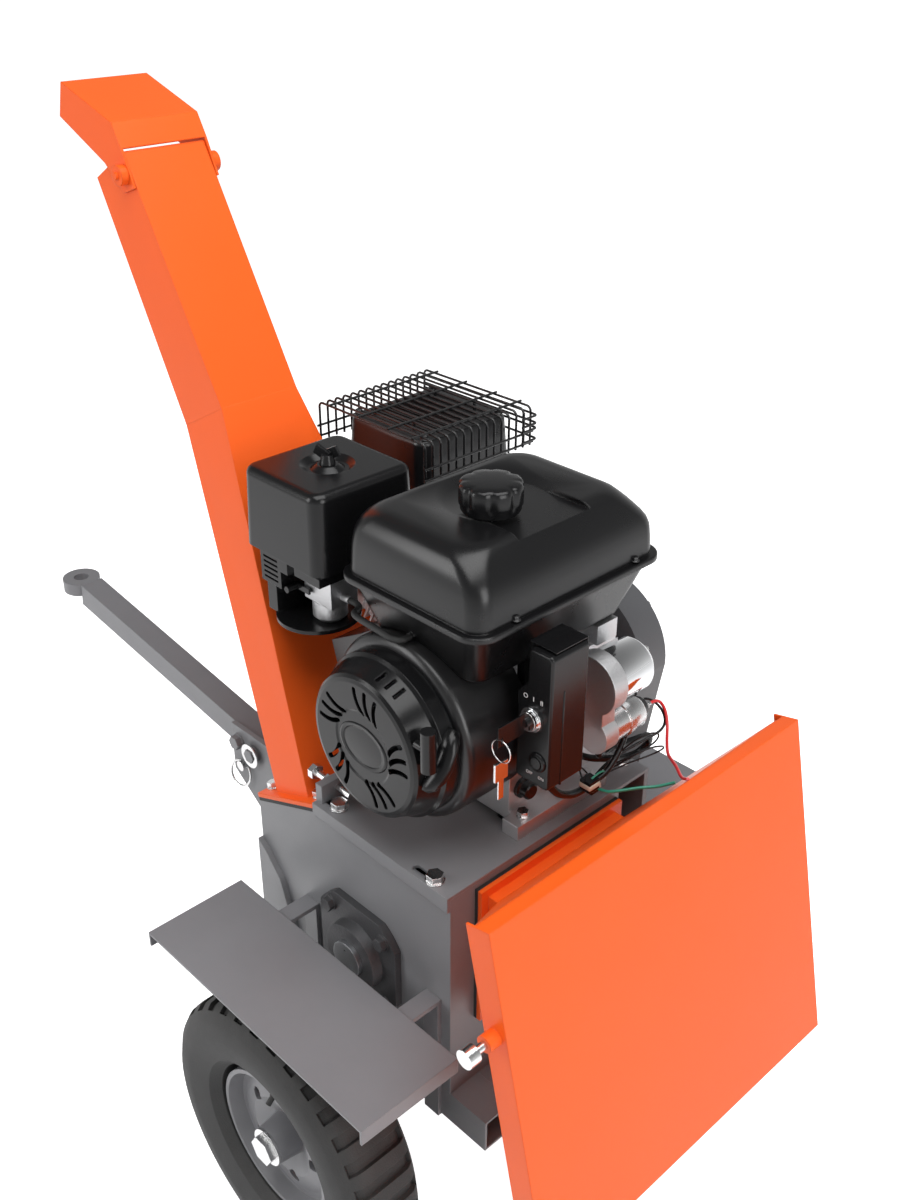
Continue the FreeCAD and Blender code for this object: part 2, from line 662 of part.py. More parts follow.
def bearing(y, along):
    """A square flange bearing; its boss stands away from the plate that carries it."""
    half = d.bearing_square / 2
    direction = 1 if along == "Y" else -1
    near, far = sized(y), sized(y) + d.bearing_flange * direction
    flange = block((d.drum_x - half, d.drum_x + half), (near, far) if direction > 0 else (far, near),
                   (drum_z - half, drum_z + half))
    rounded = common(flange, rod(d.drum_x, y, drum_z, half * 1.17, d.bearing_flange, along))
    boss = cone(d.drum_x, y, drum_z, d.bearing_boss + 4, d.bearing_boss, d.bearing_depth, along)
    bolts = []
    for x in (-1, 1):
        for z in (-1, 1):
            bolts.append(bolt(d.drum_x + half * 0.7 * x, far, drum_z + half * 0.7 * z, 10, 0, along))
    return without(joined(rounded, boss, *bolts), rod(d.drum_x, y, drum_z, shaft_bore, d.bearing_depth, along))


node("bearings", group(bearing(d.housing_left, "-Y"), bearing(plate_inner, "-Y")))

# ---------------------------------------------------------------------------------------------------------
# Cutting drum, its shaft and the belt drive
# ---------------------------------------------------------------------------------------------------------

drum_start = left_inner + d.drum_end_gap
drum_end = right_inner - d.drum_end_gap
drum_length = drum_end - drum_start
drum_middle = (drum_start + drum_end) / 2

# The rim of the drum is open at both ends round a web, and has a seat and a gullet for each knife.
shell_inner = d.drum_radius - d.drum_bore_wall
drum_profile = [(shaft_bore - d.running_fit, -d.drum_web), (d.drum_hub, -d.drum_web),
                (d.drum_hub, -d.drum_web / 2),
                (shell_inner, -d.drum_web / 2), (shell_inner, -drum_length / 2),
                (d.drum_radius, -drum_length / 2),
                (d.drum_radius, drum_length / 2), (shell_inner, drum_length / 2), (shell_inner, d.drum_web / 2),
                (d.drum_hub, d.drum_web / 2), (d.drum_hub, d.drum_web),
                (shaft_bore - d.running_fit, d.drum_web)]
drum = turned(drum_profile, d.drum_x, drum_middle, drum_z, "Y", stem="drum")
drum_planes = {feature.Role: feature for feature in drum.Origin.OriginFeatures}
seat_floor = d.drum_radius - 17
seat_sketch = sketch_on(drum, drum_planes["XY_Plane"], -drum_length / 2)
draw_outline(seat_sketch, [(seat_floor, -d.knife_width * 0.62), (seat_floor, d.knife_width * 0.38),
                           (d.drum_radius + 4, d.knife_width * 0.38),
                           (d.drum_radius + 4, -d.knife_width * 0.95)])
seat_cut = pocket(drum, seat_sketch, reverse=True)
polar(drum, drum_planes, seat_cut, 2)
node("drum", drum)

# Each knife lies on its seat, with its edge just proud of the drum.
knife_edge = d.knife_width * 0.62


def knife(side):
    x = (d.drum_x + seat_floor * side, d.drum_x + (seat_floor + d.knife_thick) * side)
    z = (drum_z - d.knife_width * 0.38 * side, drum_z + knife_edge * side)
    spread = lambda pair: pair if side > 0 else (pair[1], pair[0])
    blank = block(spread(x), (drum_start, drum_end), spread(z))
    turning_circle = rod(d.drum_x, drum_start, drum_z, d.drum_radius + d.knife_reach, drum_length, "Y")
    heads = [bolt(d.drum_x + (seat_floor + d.knife_thick) * side, drum_middle + step, drum_z, 7, 0,
                  "X" if side > 0 else "-X", washer=False, head=1.5) for step in (-105, -35, 35, 105)]
    return common(joined(blank, *heads), turning_circle)


node("knives", group(knife(1), knife(-1)))

pulley_end = d.pulley_start + d.pulley_width
shaft_start = d.housing_left - d.bearing_depth - 6
shaft = rod(d.drum_x, shaft_start, drum_z, d.shaft_radius, pulley_end - shaft_start, "Y")


def pulley(radius, bore):
    """A pulley with two belt grooves."""
    middle = d.pulley_width / 2
    depth = d.belt_depth + 1
    half = d.belt_width / 2 + 0.5
    profile = [(bore, 0), (radius, 0)]
    for step in (-0.5, 0.5):
        centre = middle + d.belt_pitch * step
        profile += [(radius, centre - half), (radius - depth, centre - half), (radius - depth, centre + half),
                    (radius, centre + half)]
    return profile + [(radius, d.pulley_width), (bore, d.pulley_width)]


drum_pulley = turned(pulley(d.drum_pulley_radius, 0), d.drum_x, d.pulley_start, drum_z, "Y")
node("drum_shaft", joined(shaft, drum_pulley))


def pear(top_radius, low_radius, sink):
    """The outline round the two shafts: two arcs and the straight lines that touch both."""
    top, low = point(d.crank_x, 0, crank_z - sink), point(d.drum_x, 0, drum_z)
    big, small = float(top_radius), float(low_radius)
    gap = top - low
    span = gap.Length
    along = gap.normalize()
    side = VECTOR(-along.z, 0, along.x)
    lean = math.asin((big - small) / span)
    normals = [side * (sign * math.cos(lean)) + along * math.sin(lean) for sign in (1, -1)]
    touch_top = [top + normal * big for normal in normals]
    touch_low = [low + normal * small for normal in normals]
    edges = [
        Part.Arc(touch_top[0], top + along * big, touch_top[1]).toShape(),
        Part.LineSegment(touch_top[1], touch_low[1]).toShape(),
        Part.Arc(touch_low[1], low - along * small, touch_low[0]).toShape(),
        Part.LineSegment(touch_low[0], touch_top[0]).toShape(),
    ]
    return Part.Face(Part.Wire(edges))


def pear_slab(top_radius, low_radius, start, end, sink=0):
    slab = pear(top_radius, low_radius, sink).extrude(VECTOR(0, float(end) - float(start), 0))
    slab.translate(VECTOR(0, float(start), 0))
    return slab


belt_shapes = []
for step in (-0.5, 0.5):
    centre = d.pulley_start + d.pulley_width / 2 + d.belt_pitch * step
    start, end = centre - d.belt_width / 2, centre + d.belt_width / 2
    outer = pear_slab(d.clutch_radius - 0.5, d.drum_pulley_radius - 0.5, start, end)
    inner = pear_slab(d.clutch_radius - 0.5 - d.belt_depth, d.drum_pulley_radius - 0.5 - d.belt_depth,
                      start, end)
    belt_shapes.append(outer.cut(inner))
node("belts", shaped(Part.makeCompound(belt_shapes), "belts"))

# Closed guard round both pulleys, with holes for the two shafts and three spacers to the drive plate
sheet_gap = d.guard_sheet
guard = pear_slab(d.guard_top_radius, d.guard_low_radius, d.guard_back, guard_end, d.guard_sink)
guard = guard.cut(pear_slab(d.guard_top_radius - sheet_gap, d.guard_low_radius - sheet_gap,
                            d.guard_back + sheet_gap, guard_end - sheet_gap, d.guard_sink))
guard_body = shaped(guard, "guard_shell")
spacers = [rod(x, plate_outer, z, 11, d.guard_back - plate_outer, "Y")
           for x, z in ((d.drum_x + 48, drum_z - 54), (d.drum_x - 34, drum_z + 140),
                        (d.drum_x + 66, drum_z + 140))]
shaft_holes = [rod(d.crank_x, d.guard_back - 1, crank_z, 34, sheet_gap + 2, "Y"),
               rod(d.drum_x, d.guard_back - 1, drum_z, d.shaft_radius + 8, sheet_gap + 2, "Y")]
node("belt_guard", without(joined(guard_body, *spacers), *shaft_holes))

# ---------------------------------------------------------------------------------------------------------
# Discharge chute, its gasket and the deflector at its top
# ---------------------------------------------------------------------------------------------------------

chute_gasket = sloping_plate(0, d.gasket_thick, "gasket")

chute_middle = float(housing_middle)
chute_seat = float(d.gasket_thick)
flange_origin = point(d.housing_rear, 0, flange_z)


def tilted(x, y, rise):
    """A point given on the sloping flange."""
    return flange_origin + tilt_rotation.multVec(point(x, y, rise))


def leaning(lean):
    """The direction up along a leaning tube, and the direction across it towards the front."""
    angle = math.radians(float(lean))
    return VECTOR(-math.sin(angle), 0, math.cos(angle)), VECTOR(math.cos(angle), 0, math.sin(angle))


def section(front, across, depth, half_width, inset):
    """Four corners of the chute's section: rear left, rear right, front right and front left."""
    rear = front - across * (depth - inset)
    front = front - across * inset
    left, right = chute_middle - half_width + inset, chute_middle + half_width - inset
    return [VECTOR(rear.x, left, rear.z), VECTOR(rear.x, right, rear.z), VECTOR(front.x, right, front.z),
            VECTOR(front.x, left, front.z)]


up_low, across_low = leaning(d.chute_lean)
up_high, across_high = leaning(d.upper_lean)
low_depth, kink_depth, outlet_depth = float(d.chute_low_depth), float(d.kink_depth), float(d.outlet_depth)
low_half = float(window_y[1] - window_y[0]) / 2
high_half = float(d.chute_top_width) / 2
base_front = tilted(d.window_start + 2 + low_depth, 0, chute_seat)
kink_front = base_front + up_low * (float(d.kink_height) / up_low.z)
outlet_front = kink_front + up_high * float(d.upper_length)
base_across = tilt_rotation.multVec(VECTOR(1, 0, 0))


def chute_sections(inset, overrun, spread=0):
    """The chute's outline at its foot, its kink and its outlet; spread widens it past both side walls."""
    drop = tilt_rotation.multVec(VECTOR(0, 0, -overrun))
    outlines = [section(base_front + drop, base_across, low_depth, low_half, inset),
                section(kink_front, across_low, kink_depth, high_half, inset),
                section(outlet_front + up_high * overrun, across_high, outlet_depth, high_half, inset)]
    sides = [VECTOR(0, -spread, 0), VECTOR(0, spread, 0), VECTOR(0, spread, 0), VECTOR(0, -spread, 0)]
    return [[corner + side for corner, side in zip(outline, sides)] for outline in outlines]


def chute_solid():
    low, kink, high = chute_sections(0, 0)
    return faceted(low, kink, mirrored=(2,)).fuse(faceted(kink, high, mirrored=(2,)))


def chute_sheets():
    """Eight sheets: a front, a back and two sides below the kink, and the same above it."""
    thick = float(d.chute_sheet)
    outline = chute_sections(0, 0)
    inner, wide = chute_sections(thick, 3), chute_sections(thick, 3, 20)
    sheets = []
    for part in (0, 1):
        outside = faceted(outline[part], outline[part + 1], mirrored=(2,))
        room = faceted(inner[part], inner[part + 1], mirrored=(2,))
        between = faceted(wide[part], wide[part + 1], mirrored=(2,))
        sheets += outside.cut(between).Solids
        sheets += outside.common(between).cut(room).Solids
    return sheets


chute_flange = block((0, d.flange_length), (flange_left, flange_right),
                     (d.gasket_thick, d.gasket_thick + d.chute_flange))
flange_bolt_holes = [rod(x, y, d.gasket_thick - 1, bolt_size / 2 + 0.5, d.chute_flange + 2)
                     for x, y in bolt_spots]
chute_flange = seat(without(chute_flange, *flange_bolt_holes), d.housing_rear, 0, flange_z, tilt)
chute_flange = without(chute_flange, shaped(chute_solid(), "chute_room"))

# Two studs near the outlet carry the deflector; a knob on each holds it.
deflector_pivot = outlet_front - up_high * 25 - across_high * 12
stud_radius = 5
deflector_sheet = 3
deflector_gap = 1
stud_parts = []
for along, side in (("Y", 1), ("-Y", -1)):
    face = chute_middle + high_half * side
    stud_parts.append(rod(deflector_pivot.x, face, deflector_pivot.z, stud_radius, 18, along))
    stud_parts.append(rod(deflector_pivot.x, face + (deflector_gap + deflector_sheet + 0.3) * side,
                          deflector_pivot.z, 13, 10, along))
studs = [joined(*stud_parts[:2]), joined(*stud_parts[2:])]
node("chute", group(chute_flange, *studs, *[shaped(sheet, "chute_sheet") for sheet in chute_sheets()]))

flange_bolts = []
for x, y in bolt_spots:
    rise = d.gasket_thick + d.chute_flange
    flange_bolts.append(seat(bolt(x, y, rise, bolt_size, rise + 6), d.housing_rear, 0, flange_z, tilt))
node("chute_bolts", group(*flange_bolts))


def deflector():
    """A hood over the outlet: two cheeks outside the chute and a plate that turns the chips away."""
    turn_over, down_over = leaning(72)
    start = outlet_front + up_high * 2 + across_high * (deflector_gap + deflector_sheet)
    bend = start + up_high * 34
    tip = bend + turn_over * 120
    half = high_half + deflector_gap + deflector_sheet
    cheek = [start - up_high * 50 - across_high * 4, start, bend, tip, tip - down_over * 46,
             deflector_pivot - across_high * 34 + up_high * 30,
             deflector_pivot - across_high * 16 - up_high * 18]
    outside = Part.Face(Part.makePolygon(cheek + cheek[:1])).extrude(VECTOR(0, 2 * half, 0))
    outside.translate(VECTOR(0, chute_middle - half, 0))
    inner = [start - up_high * 60 - across_high * deflector_sheet, start - across_high * deflector_sheet,
             bend - across_high * deflector_sheet - up_high * 1,
             tip - down_over * deflector_sheet + turn_over * 5,
             tip - down_over * 90, deflector_pivot - across_high * 90, deflector_pivot - up_high * 90]
    inside = Part.Face(Part.makePolygon(inner + inner[:1])).extrude(VECTOR(0, 2 * (half - deflector_sheet), 0))
    inside.translate(VECTOR(0, chute_middle - half + deflector_sheet, 0))
    front_cut = [start - up_high * 60 + across_high * 10, start + across_high * 10, start - across_high * 4,
                 start - up_high * 60 - across_high * 4]
    slot = Part.Face(Part.makePolygon(front_cut + front_cut[:1])).extrude(
        VECTOR(0, 2 * (half - deflector_sheet), 0))
    slot.translate(VECTOR(0, chute_middle - half + deflector_sheet, 0))
    bore = Part.makeCylinder(stud_radius + float(d.running_fit), 2 * half + 2,
                             VECTOR(deflector_pivot.x, chute_middle - half - 1, deflector_pivot.z),
                             VECTOR(0, 1, 0))
    return outside.cut(inside).cut(slot).cut(bore)


node("deflector", shaped(deflector(), "deflector"))

# ---------------------------------------------------------------------------------------------------------
# Feed hopper and the tray that folds up over its mouth
# ---------------------------------------------------------------------------------------------------------

neck_face = d.housing_front + d.gasket_thick
neck_start = neck_face + d.chute_flange
neck_end = neck_start + d.neck_length
rim = d.neck_flange
neck_gasket = without(
    block((d.housing_front, neck_face), (neck_left - rim, neck_right + rim), (neck_low - rim, neck_top + rim)),
    block((d.housing_front - 1, neck_face + 1), (neck_left, neck_right), (neck_low, neck_top)))
node("gaskets", group(chute_gasket, neck_gasket))

lean_sine, lean_cosine = sine(d.mouth_lean), cosine(d.mouth_lean)


def at_mouth(along, out):
    """X and Z of a place given along the mouth's slope, up from its low edge, and out from its plane."""
    return (d.mouth_low_x - sized(along) * lean_sine + sized(out) * lean_cosine,
            d.mouth_low_z + sized(along) * lean_cosine + sized(out) * lean_sine)


def mouth_outline(out, inset):
    low, high = at_mouth(inset, out), at_mouth(d.mouth_slant - inset, out)
    left, right = d.mouth_y - d.mouth_half + inset, d.mouth_y + d.mouth_half - inset
    return [point(low[0], left, low[1]), point(low[0], right, low[1]), point(high[0], right, high[1]),
            point(high[0], left, high[1])]


def neck_outline(x, inset):
    left, right = neck_left + inset, neck_right - inset
    low, high = neck_low + inset, neck_top - inset
    return [point(x, left, low), point(x, right, low), point(x, right, high), point(x, left, high)]


def hopper_solid(inset, overrun):
    tube = faceted(neck_outline(neck_face - overrun, inset), neck_outline(neck_end, inset))
    funnel = faceted(neck_outline(neck_end, inset), mouth_outline(-d.mouth_collar, inset), mirrored=(3,))
    collar = faceted(mouth_outline(-d.mouth_collar, inset), mouth_outline(overrun, inset))
    return tube.fuse([funnel, collar])


hinge_x, hinge_z = at_mouth(-d.hinge_drop, -6)
mouth_left, mouth_right = d.mouth_y - d.mouth_half, d.mouth_y + d.mouth_half
hinge_pin = 4
knuckle = 40
hinge_places = [mouth_left + 30, d.mouth_y - knuckle / 2, mouth_right - 30 - knuckle]
mouth_turn = (VECTOR(0, 1, 0), -d.mouth_lean)
neck_rim = block((neck_face, neck_start), (neck_left - rim, neck_right + rim), (neck_low - rim, neck_top + rim))
eyes = []
for start in hinge_places:
    eyes.append(rod(hinge_x, start, hinge_z, d.hinge_radius, knuckle, "Y"))
    web = [at_mouth(-d.hinge_drop, -11), at_mouth(-d.hinge_drop, 0), at_mouth(1, 0), at_mouth(1, -11)]
    eyes.append(extruded("XZ_Plane", web, start, start + knuckle))
pin_length = hinge_places[2] - hinge_places[0] + knuckle - 4
pin = rod(hinge_x, hinge_places[0] + 2, hinge_z, hinge_pin, pin_length, "Y")
latch_x, latch_z = at_mouth(d.mouth_slant * 0.72, -d.mouth_collar * 0.5)
latch_hole = rod(latch_x, mouth_left - 5, latch_z, d.pin_radius + 0.5, 12, "Y")
hopper_shell = without(joined(shaped(hopper_solid(0, 0), "hopper_outside"), neck_rim, *eyes, pin),
                       shaped(hopper_solid(float(d.hopper_sheet), 8), "hopper_inside"), latch_hole)
node("hopper", hopper_shell)

# The tray is a shallow pan: its side lips pass outside the collar, and its knuckles turn on the pin.
lip_gap = 1.5
lip_outer = d.mouth_half + lip_gap + d.tray_sheet
pan = block((d.tray_gap, d.tray_gap + d.tray_sheet), (d.mouth_y - lip_outer, d.mouth_y + lip_outer),
            (-d.hinge_drop, d.mouth_slant + 6))
lips = [block((d.tray_gap - d.tray_lip, d.tray_gap + d.tray_sheet), spread, (4, d.mouth_slant + 6))
        for spread in ((d.mouth_y - lip_outer, d.mouth_y - lip_outer + d.tray_sheet),
                       (d.mouth_y + lip_outer - d.tray_sheet, d.mouth_y + lip_outer))]
end_lip = block((d.tray_gap - 18, d.tray_gap + d.tray_sheet), (d.mouth_y - lip_outer, d.mouth_y + lip_outer),
                (d.mouth_slant + 3, d.mouth_slant + 6))
boss_length = 16
latch_boss = rod(-d.mouth_collar * 0.5, d.mouth_y - lip_outer, d.mouth_slant * 0.72, d.pin_radius + 5,
                 boss_length,
                 "-Y")
pan = seat(joined(pan, *lips, end_lip, latch_boss), d.mouth_low_x, 0, d.mouth_low_z, mouth_turn)
tray_knuckles = [rod(hinge_x, start + knuckle + 0.5, hinge_z, d.hinge_radius, knuckle, "Y")
                 for start in hinge_places[:2]]
hinge_bore = rod(hinge_x, mouth_left, hinge_z, hinge_pin + d.running_fit, d.mouth_half * 2, "Y")
eye_room = [rod(hinge_x, start - 0.5, hinge_z, d.hinge_radius + 0.5, knuckle + 1, "Y")
            for start in hinge_places]
latch_bore = rod(latch_x, d.mouth_y - lip_outer - boss_length - 1, latch_z, d.pin_radius + d.running_fit,
                 boss_length + d.tray_sheet + 2, "Y")
node("feed_tray", without(joined(pan, *tray_knuckles), hinge_bore, *eye_room, latch_bore))

# The latch pin stands drawn back in its boss, ready to slide into the hopper's collar.
latch_start = d.mouth_y - lip_outer + d.tray_sheet
latch_knob = 14
pin_out = boss_length + d.tray_sheet + 14
node("tray_latch", joined(
    rod(latch_x, latch_start, latch_z, d.pin_radius, pin_out, "-Y"),
    rod(latch_x, latch_start - pin_out, latch_z, 11, latch_knob, "-Y")))

# ---------------------------------------------------------------------------------------------------------
# Drawbar, its bracket, the lynch pin and the support leg
# ---------------------------------------------------------------------------------------------------------

bar_half = d.drawbar_tube / 2
cheek_in = bar_half + d.bracket_gap
cheek_out = cheek_in + d.bracket_plate
bracket_end = d.drawbar_pivot_x - 56
bracket_top = d.drawbar_pivot_z + 31
cross_face = d.cross_rear - half_tube
bracket_outline = [(d.housing_rear, bracket_top), (d.housing_rear, rail_top), (cross_face, rail_top),
                   (cross_face, rail_low), (cross_face - 30, rail_low), (bracket_end, d.drawbar_pivot_z - 54),
                   (bracket_end, bracket_top)]
pin_x, pin_z = d.drawbar_pivot_x - 24, d.drawbar_pivot_z - 30
clamp_x = d.drawbar_pivot_x - 38
clamp_z = d.drawbar_pivot_z + 38 * sine(d.drawbar_angle) / cosine(d.drawbar_angle)
cheeks = [extruded("XZ_Plane", bracket_outline, d.drawbar_y + start, d.drawbar_y + end)
          for start, end in ((-cheek_out, -cheek_in), (cheek_in, cheek_out))]
back_plate = block((d.housing_rear - d.bracket_plate, d.housing_rear),
                   (d.drawbar_y - cheek_in, d.drawbar_y + cheek_in), (rail_top, bracket_top))
pin_holes = rod(pin_x, d.drawbar_y - cheek_out - 1, pin_z, d.pin_radius + d.running_fit, cheek_out * 2 + 2, "Y")
pivot_rod = rod(d.drawbar_pivot_x, d.drawbar_y - cheek_out, d.drawbar_pivot_z, d.pivot_radius,
                cheek_out * 2, "Y")
leg_rod = rod(d.leg_x, d.drawbar_y - cheek_out, d.leg_pivot_z, d.pivot_radius, cheek_out * 2, "Y")
heads = []
for x, z in ((d.drawbar_pivot_x, d.drawbar_pivot_z), (d.leg_x, d.leg_pivot_z), (clamp_x, clamp_z)):
    heads.append(bolt(x, d.drawbar_y - cheek_out, z, 12, 0, "-Y"))
    heads.append(bolt(x, d.drawbar_y + cheek_out, z, 12, 0, "Y", washer=False))
node("drawbar_bracket", joined(without(joined(*cheeks, back_plate), pin_holes), pivot_rod, leg_rod, *heads))

# The bar is drawn level and tilted about its pivot; the hitch eye at its end lies flat.
half_length = d.mouth_low_x + d.hinge_drop * lean_sine + (d.tray_gap + d.tray_sheet) * lean_cosine
eye_x = d.eye_radius - half_length
eye_z = d.drawbar_pivot_z + (d.drawbar_pivot_x - eye_x) * sine(d.drawbar_angle) / cosine(d.drawbar_angle)
bar_reach = (d.drawbar_pivot_x - eye_x) / cosine(d.drawbar_angle)
inner_reach = 44
bar_tube = without(
    block((-bar_reach + 34, inner_reach), (-bar_half, bar_half), (-bar_half, bar_half)),
    block((-bar_reach + 60, inner_reach + 1), (-bar_half + 3, bar_half - 3), (-bar_half + 3, bar_half - 3)),
    rod(0, -bar_half - 1, 0, d.pivot_radius + d.running_fit, d.drawbar_tube + 2, "Y"))
bar_tube = seat(bar_tube, d.drawbar_pivot_x, d.drawbar_y, d.drawbar_pivot_z, (VECTOR(0, 1, 0), d.drawbar_angle))
eye = rod(eye_x, d.drawbar_y, eye_z - d.eye_thick / 2, d.eye_radius, d.eye_thick)
neck_bar = block((eye_x, eye_x + 46), (d.drawbar_y - 14, d.drawbar_y + 14),
                 (eye_z - d.eye_thick / 2, eye_z + d.eye_thick / 2))
node("drawbar", without(joined(bar_tube, neck_bar, eye),
                        rod(eye_x, d.drawbar_y, eye_z - d.eye_thick, d.eye_bore, d.eye_thick * 2)))

# Lynch pin with its spring ring, through both cheeks under the bar
pin_head_y = d.drawbar_y - cheek_out - 12
ring_radius = 21
pin_body = joined(
    rod(pin_x, pin_head_y, pin_z, d.pin_radius, cheek_out * 2 + 20, "Y"),
    rod(pin_x, pin_head_y, pin_z, d.pin_radius + 3.5, 8, "Y"))
ring = doc.addObject("Part::Torus", unique("ring"))
bind(ring, Radius1=ring_radius, Radius2=1.8)
seat(ring, pin_x - 5, pin_head_y + 4, pin_z - ring_radius + 4,
     FreeCAD.Rotation(VECTOR(0, 0, 1), 8).multiply(FreeCAD.Rotation(VECTOR(1, 0, 0), 78)))
node("lynch_pin", joined(pin_body, ring))

# The leg hangs from its bolt between the cheeks and stands on a flat foot.
leg_half = d.leg_tube / 2
leg_wall = 3
leg_fillers = cheek_in - 1
leg = [without(block((d.leg_x - leg_half, d.leg_x + leg_half), (d.drawbar_y - leg_half, d.drawbar_y + leg_half),
                     (6, d.leg_pivot_z + 20)),
               block((d.leg_x - leg_half + leg_wall, d.leg_x + leg_half - leg_wall),
                     (d.drawbar_y - leg_half + leg_wall, d.drawbar_y + leg_half - leg_wall),
                     (7, d.leg_pivot_z + 21))),
       block((d.leg_x - d.foot_size / 2, d.leg_x + d.foot_size / 2),
             (d.drawbar_y - d.foot_size / 2, d.drawbar_y + d.foot_size / 2), (0, 6)),
       rod(d.leg_x, d.drawbar_y - leg_fillers, d.leg_pivot_z, 15, leg_fillers * 2, "Y")]
node("support_leg", without(joined(*leg), rod(d.leg_x, d.drawbar_y - cheek_in, d.leg_pivot_z,
                                              d.pivot_radius + d.running_fit, cheek_in * 2, "Y")))

# ---------------------------------------------------------------------------------------------------------
# Engine deck
# ---------------------------------------------------------------------------------------------------------

deck_left = d.housing_left - d.deck_sheet
deck_bolts = [(d.deck_rear + 32, deck_left + 18), (d.deck_front - 33, deck_left + 12),
              (d.deck_rear + 32, d.deck_right - d.bolt_edge), (d.deck_front - 33, d.deck_right - d.bolt_edge)]
foot_bolts = [(d.crank_x - 79, -50), (d.crank_x + 101, -50), (d.crank_x - 79, 66), (d.crank_x + 101, 66)]


def engine_deck():
    """The deck: a plate with four long slots for its bolts and four for the engine, and two bent skirts."""
    body, planes = new_body("deck")
    outline = sketch_on(body, planes["XY_Plane"], deck_top - d.deck_sheet)
    draw_outline(outline, [(d.deck_rear, deck_left), (d.deck_front, deck_left), (d.deck_front, d.deck_right),
                           (d.deck_rear, d.deck_right)])
    pad(body, outline, d.deck_sheet)
    slots = sketch_on(body, planes["XY_Plane"], deck_top)
    for x, y in deck_bolts + [(x - 4, y) for x, y in foot_bolts]:
        half = d.slot_width / 2
        reach = d.slot_length - d.slot_width
        start = sized(x) - reach
        top = [point(start, y + half, 0), point(x, y + half, 0)]
        low = [point(start, y - half, 0), point(x, y - half, 0)]
        centres = [VECTOR(float(start), float(sized(y)), 0), VECTOR(float(sized(x)), float(sized(y)), 0)]
        turn = math.pi / 2
        first = slots.addGeometry([
            Part.LineSegment(top[0], top[1]), Part.LineSegment(low[0], low[1]),
            Part.ArcOfCircle(Part.Circle(centres[0], VECTOR(0, 0, 1), float(half)), turn, 3 * turn),
            Part.ArcOfCircle(Part.Circle(centres[1], VECTOR(0, 0, 1), float(half)), -turn, turn)], False)[0]
        for line, end, arc, arc_end in ((0, 1, 2, 1), (1, 1, 2, 2), (0, 2, 3, 2), (1, 2, 3, 1)):
            slots.addConstraint(Sketcher.Constraint("Tangent", first + line, end, first + arc, arc_end))
        fix_radius(slots, first + 2, half)
        fix_point(slots, first + 2, 3, start, y)
        fix_point(slots, first + 3, 3, x, y)
    pocket(body, slots)
    return body


under_deck = deck_top - d.deck_sheet
left_skirt = extruded("XZ_Plane", [(d.deck_rear, under_deck), (d.deck_rear, deck_top - d.skirt_rear),
                                   (d.deck_front, deck_top - d.skirt_front), (d.deck_front, under_deck)],
                      deck_left, d.housing_left)
rear_skirt = block((d.deck_rear, d.deck_rear + d.deck_sheet), (deck_left, d.deck_right),
                   (deck_top - d.skirt_rear, under_deck))
tab_y = (deck_left + 7, deck_left + 54)
tab = block((d.deck_rear, d.deck_rear + 12), tab_y, (deck_top, deck_top + 27))
jack_y, jack_z = deck_left + 33, deck_top + 14
jack_hole = rod(d.deck_rear - 1, jack_y, jack_z, 5, 14, "X")
node("deck", without(joined(engine_deck(), left_skirt, rear_skirt, tab), jack_hole))

deck_fasteners = [bolt(x, y, deck_top, 11, d.deck_sheet) for x, y in deck_bolts]
deck_fasteners += [bolt(x, y, deck_top + d.foot_height, 8, d.foot_height) for x, y in foot_bolts]
jack = joined(rod(d.deck_rear - 22, jack_y, jack_z, 5, 60, "X"),
              hexagon(d.deck_rear - 38, jack_y, jack_z, 18, 9, "X"),
              rod(d.deck_rear - 29, jack_y, jack_z, 5, 10, "X"),
              hexagon(d.deck_rear - 9, jack_y, jack_z, 17, 8, "X"))
node("deck_bolts", group(*deck_fasteners, jack))

# ---------------------------------------------------------------------------------------------------------
# Engine: crankcase, cylinder, blower shroud and recoil cover
# ---------------------------------------------------------------------------------------------------------

case_rear, case_front = d.crank_x - 66, d.crank_x + 85
case_left, case_right = -58, 128
case_top = lip_z - d.tank_lower
foot_left, foot_right = -72, 92
boss_end = case_right + 26
crank_bore = d.crank_radius + d.running_fit

case = block((case_rear, case_front), (case_left, case_right), (deck_top + 8, case_top - 40))
shoulder = block((case_rear + 22, case_front - 22), (case_left, case_right), (case_top - 40, case_top))
feet = [block((x - 13, x + 13), (foot_left, foot_right), (deck_top, deck_top + d.foot_height))
        for x in (foot_bolts[0][0], foot_bolts[1][0])]
feet += [block(span, (case_left, case_right), (deck_top + 8, deck_top + d.foot_height))
         for span in ((foot_bolts[0][0], case_rear), (case_front, foot_bolts[1][0]))]
drive_cover = cone(d.crank_x, case_right, crank_z, 72, 60, 14, "Y")
drive_boss = rod(d.crank_x, case_right, crank_z, 28, boss_end - case_right, "Y")
tank_boss = block((case_front - 30, case_front + 18), (70, 106), (case_top - 28, case_top - 2))
foot_holes = [rod(x, y, deck_top - 1, 4.5, 30) for x, y in foot_bolts]
node("crankcase", without(joined(case, shoulder, *feet, drive_cover, drive_boss, tank_boss), *foot_holes,
                          rod(d.crank_x, case_left - 1, crank_z, crank_bore, boss_end - case_left + 2, "Y")))

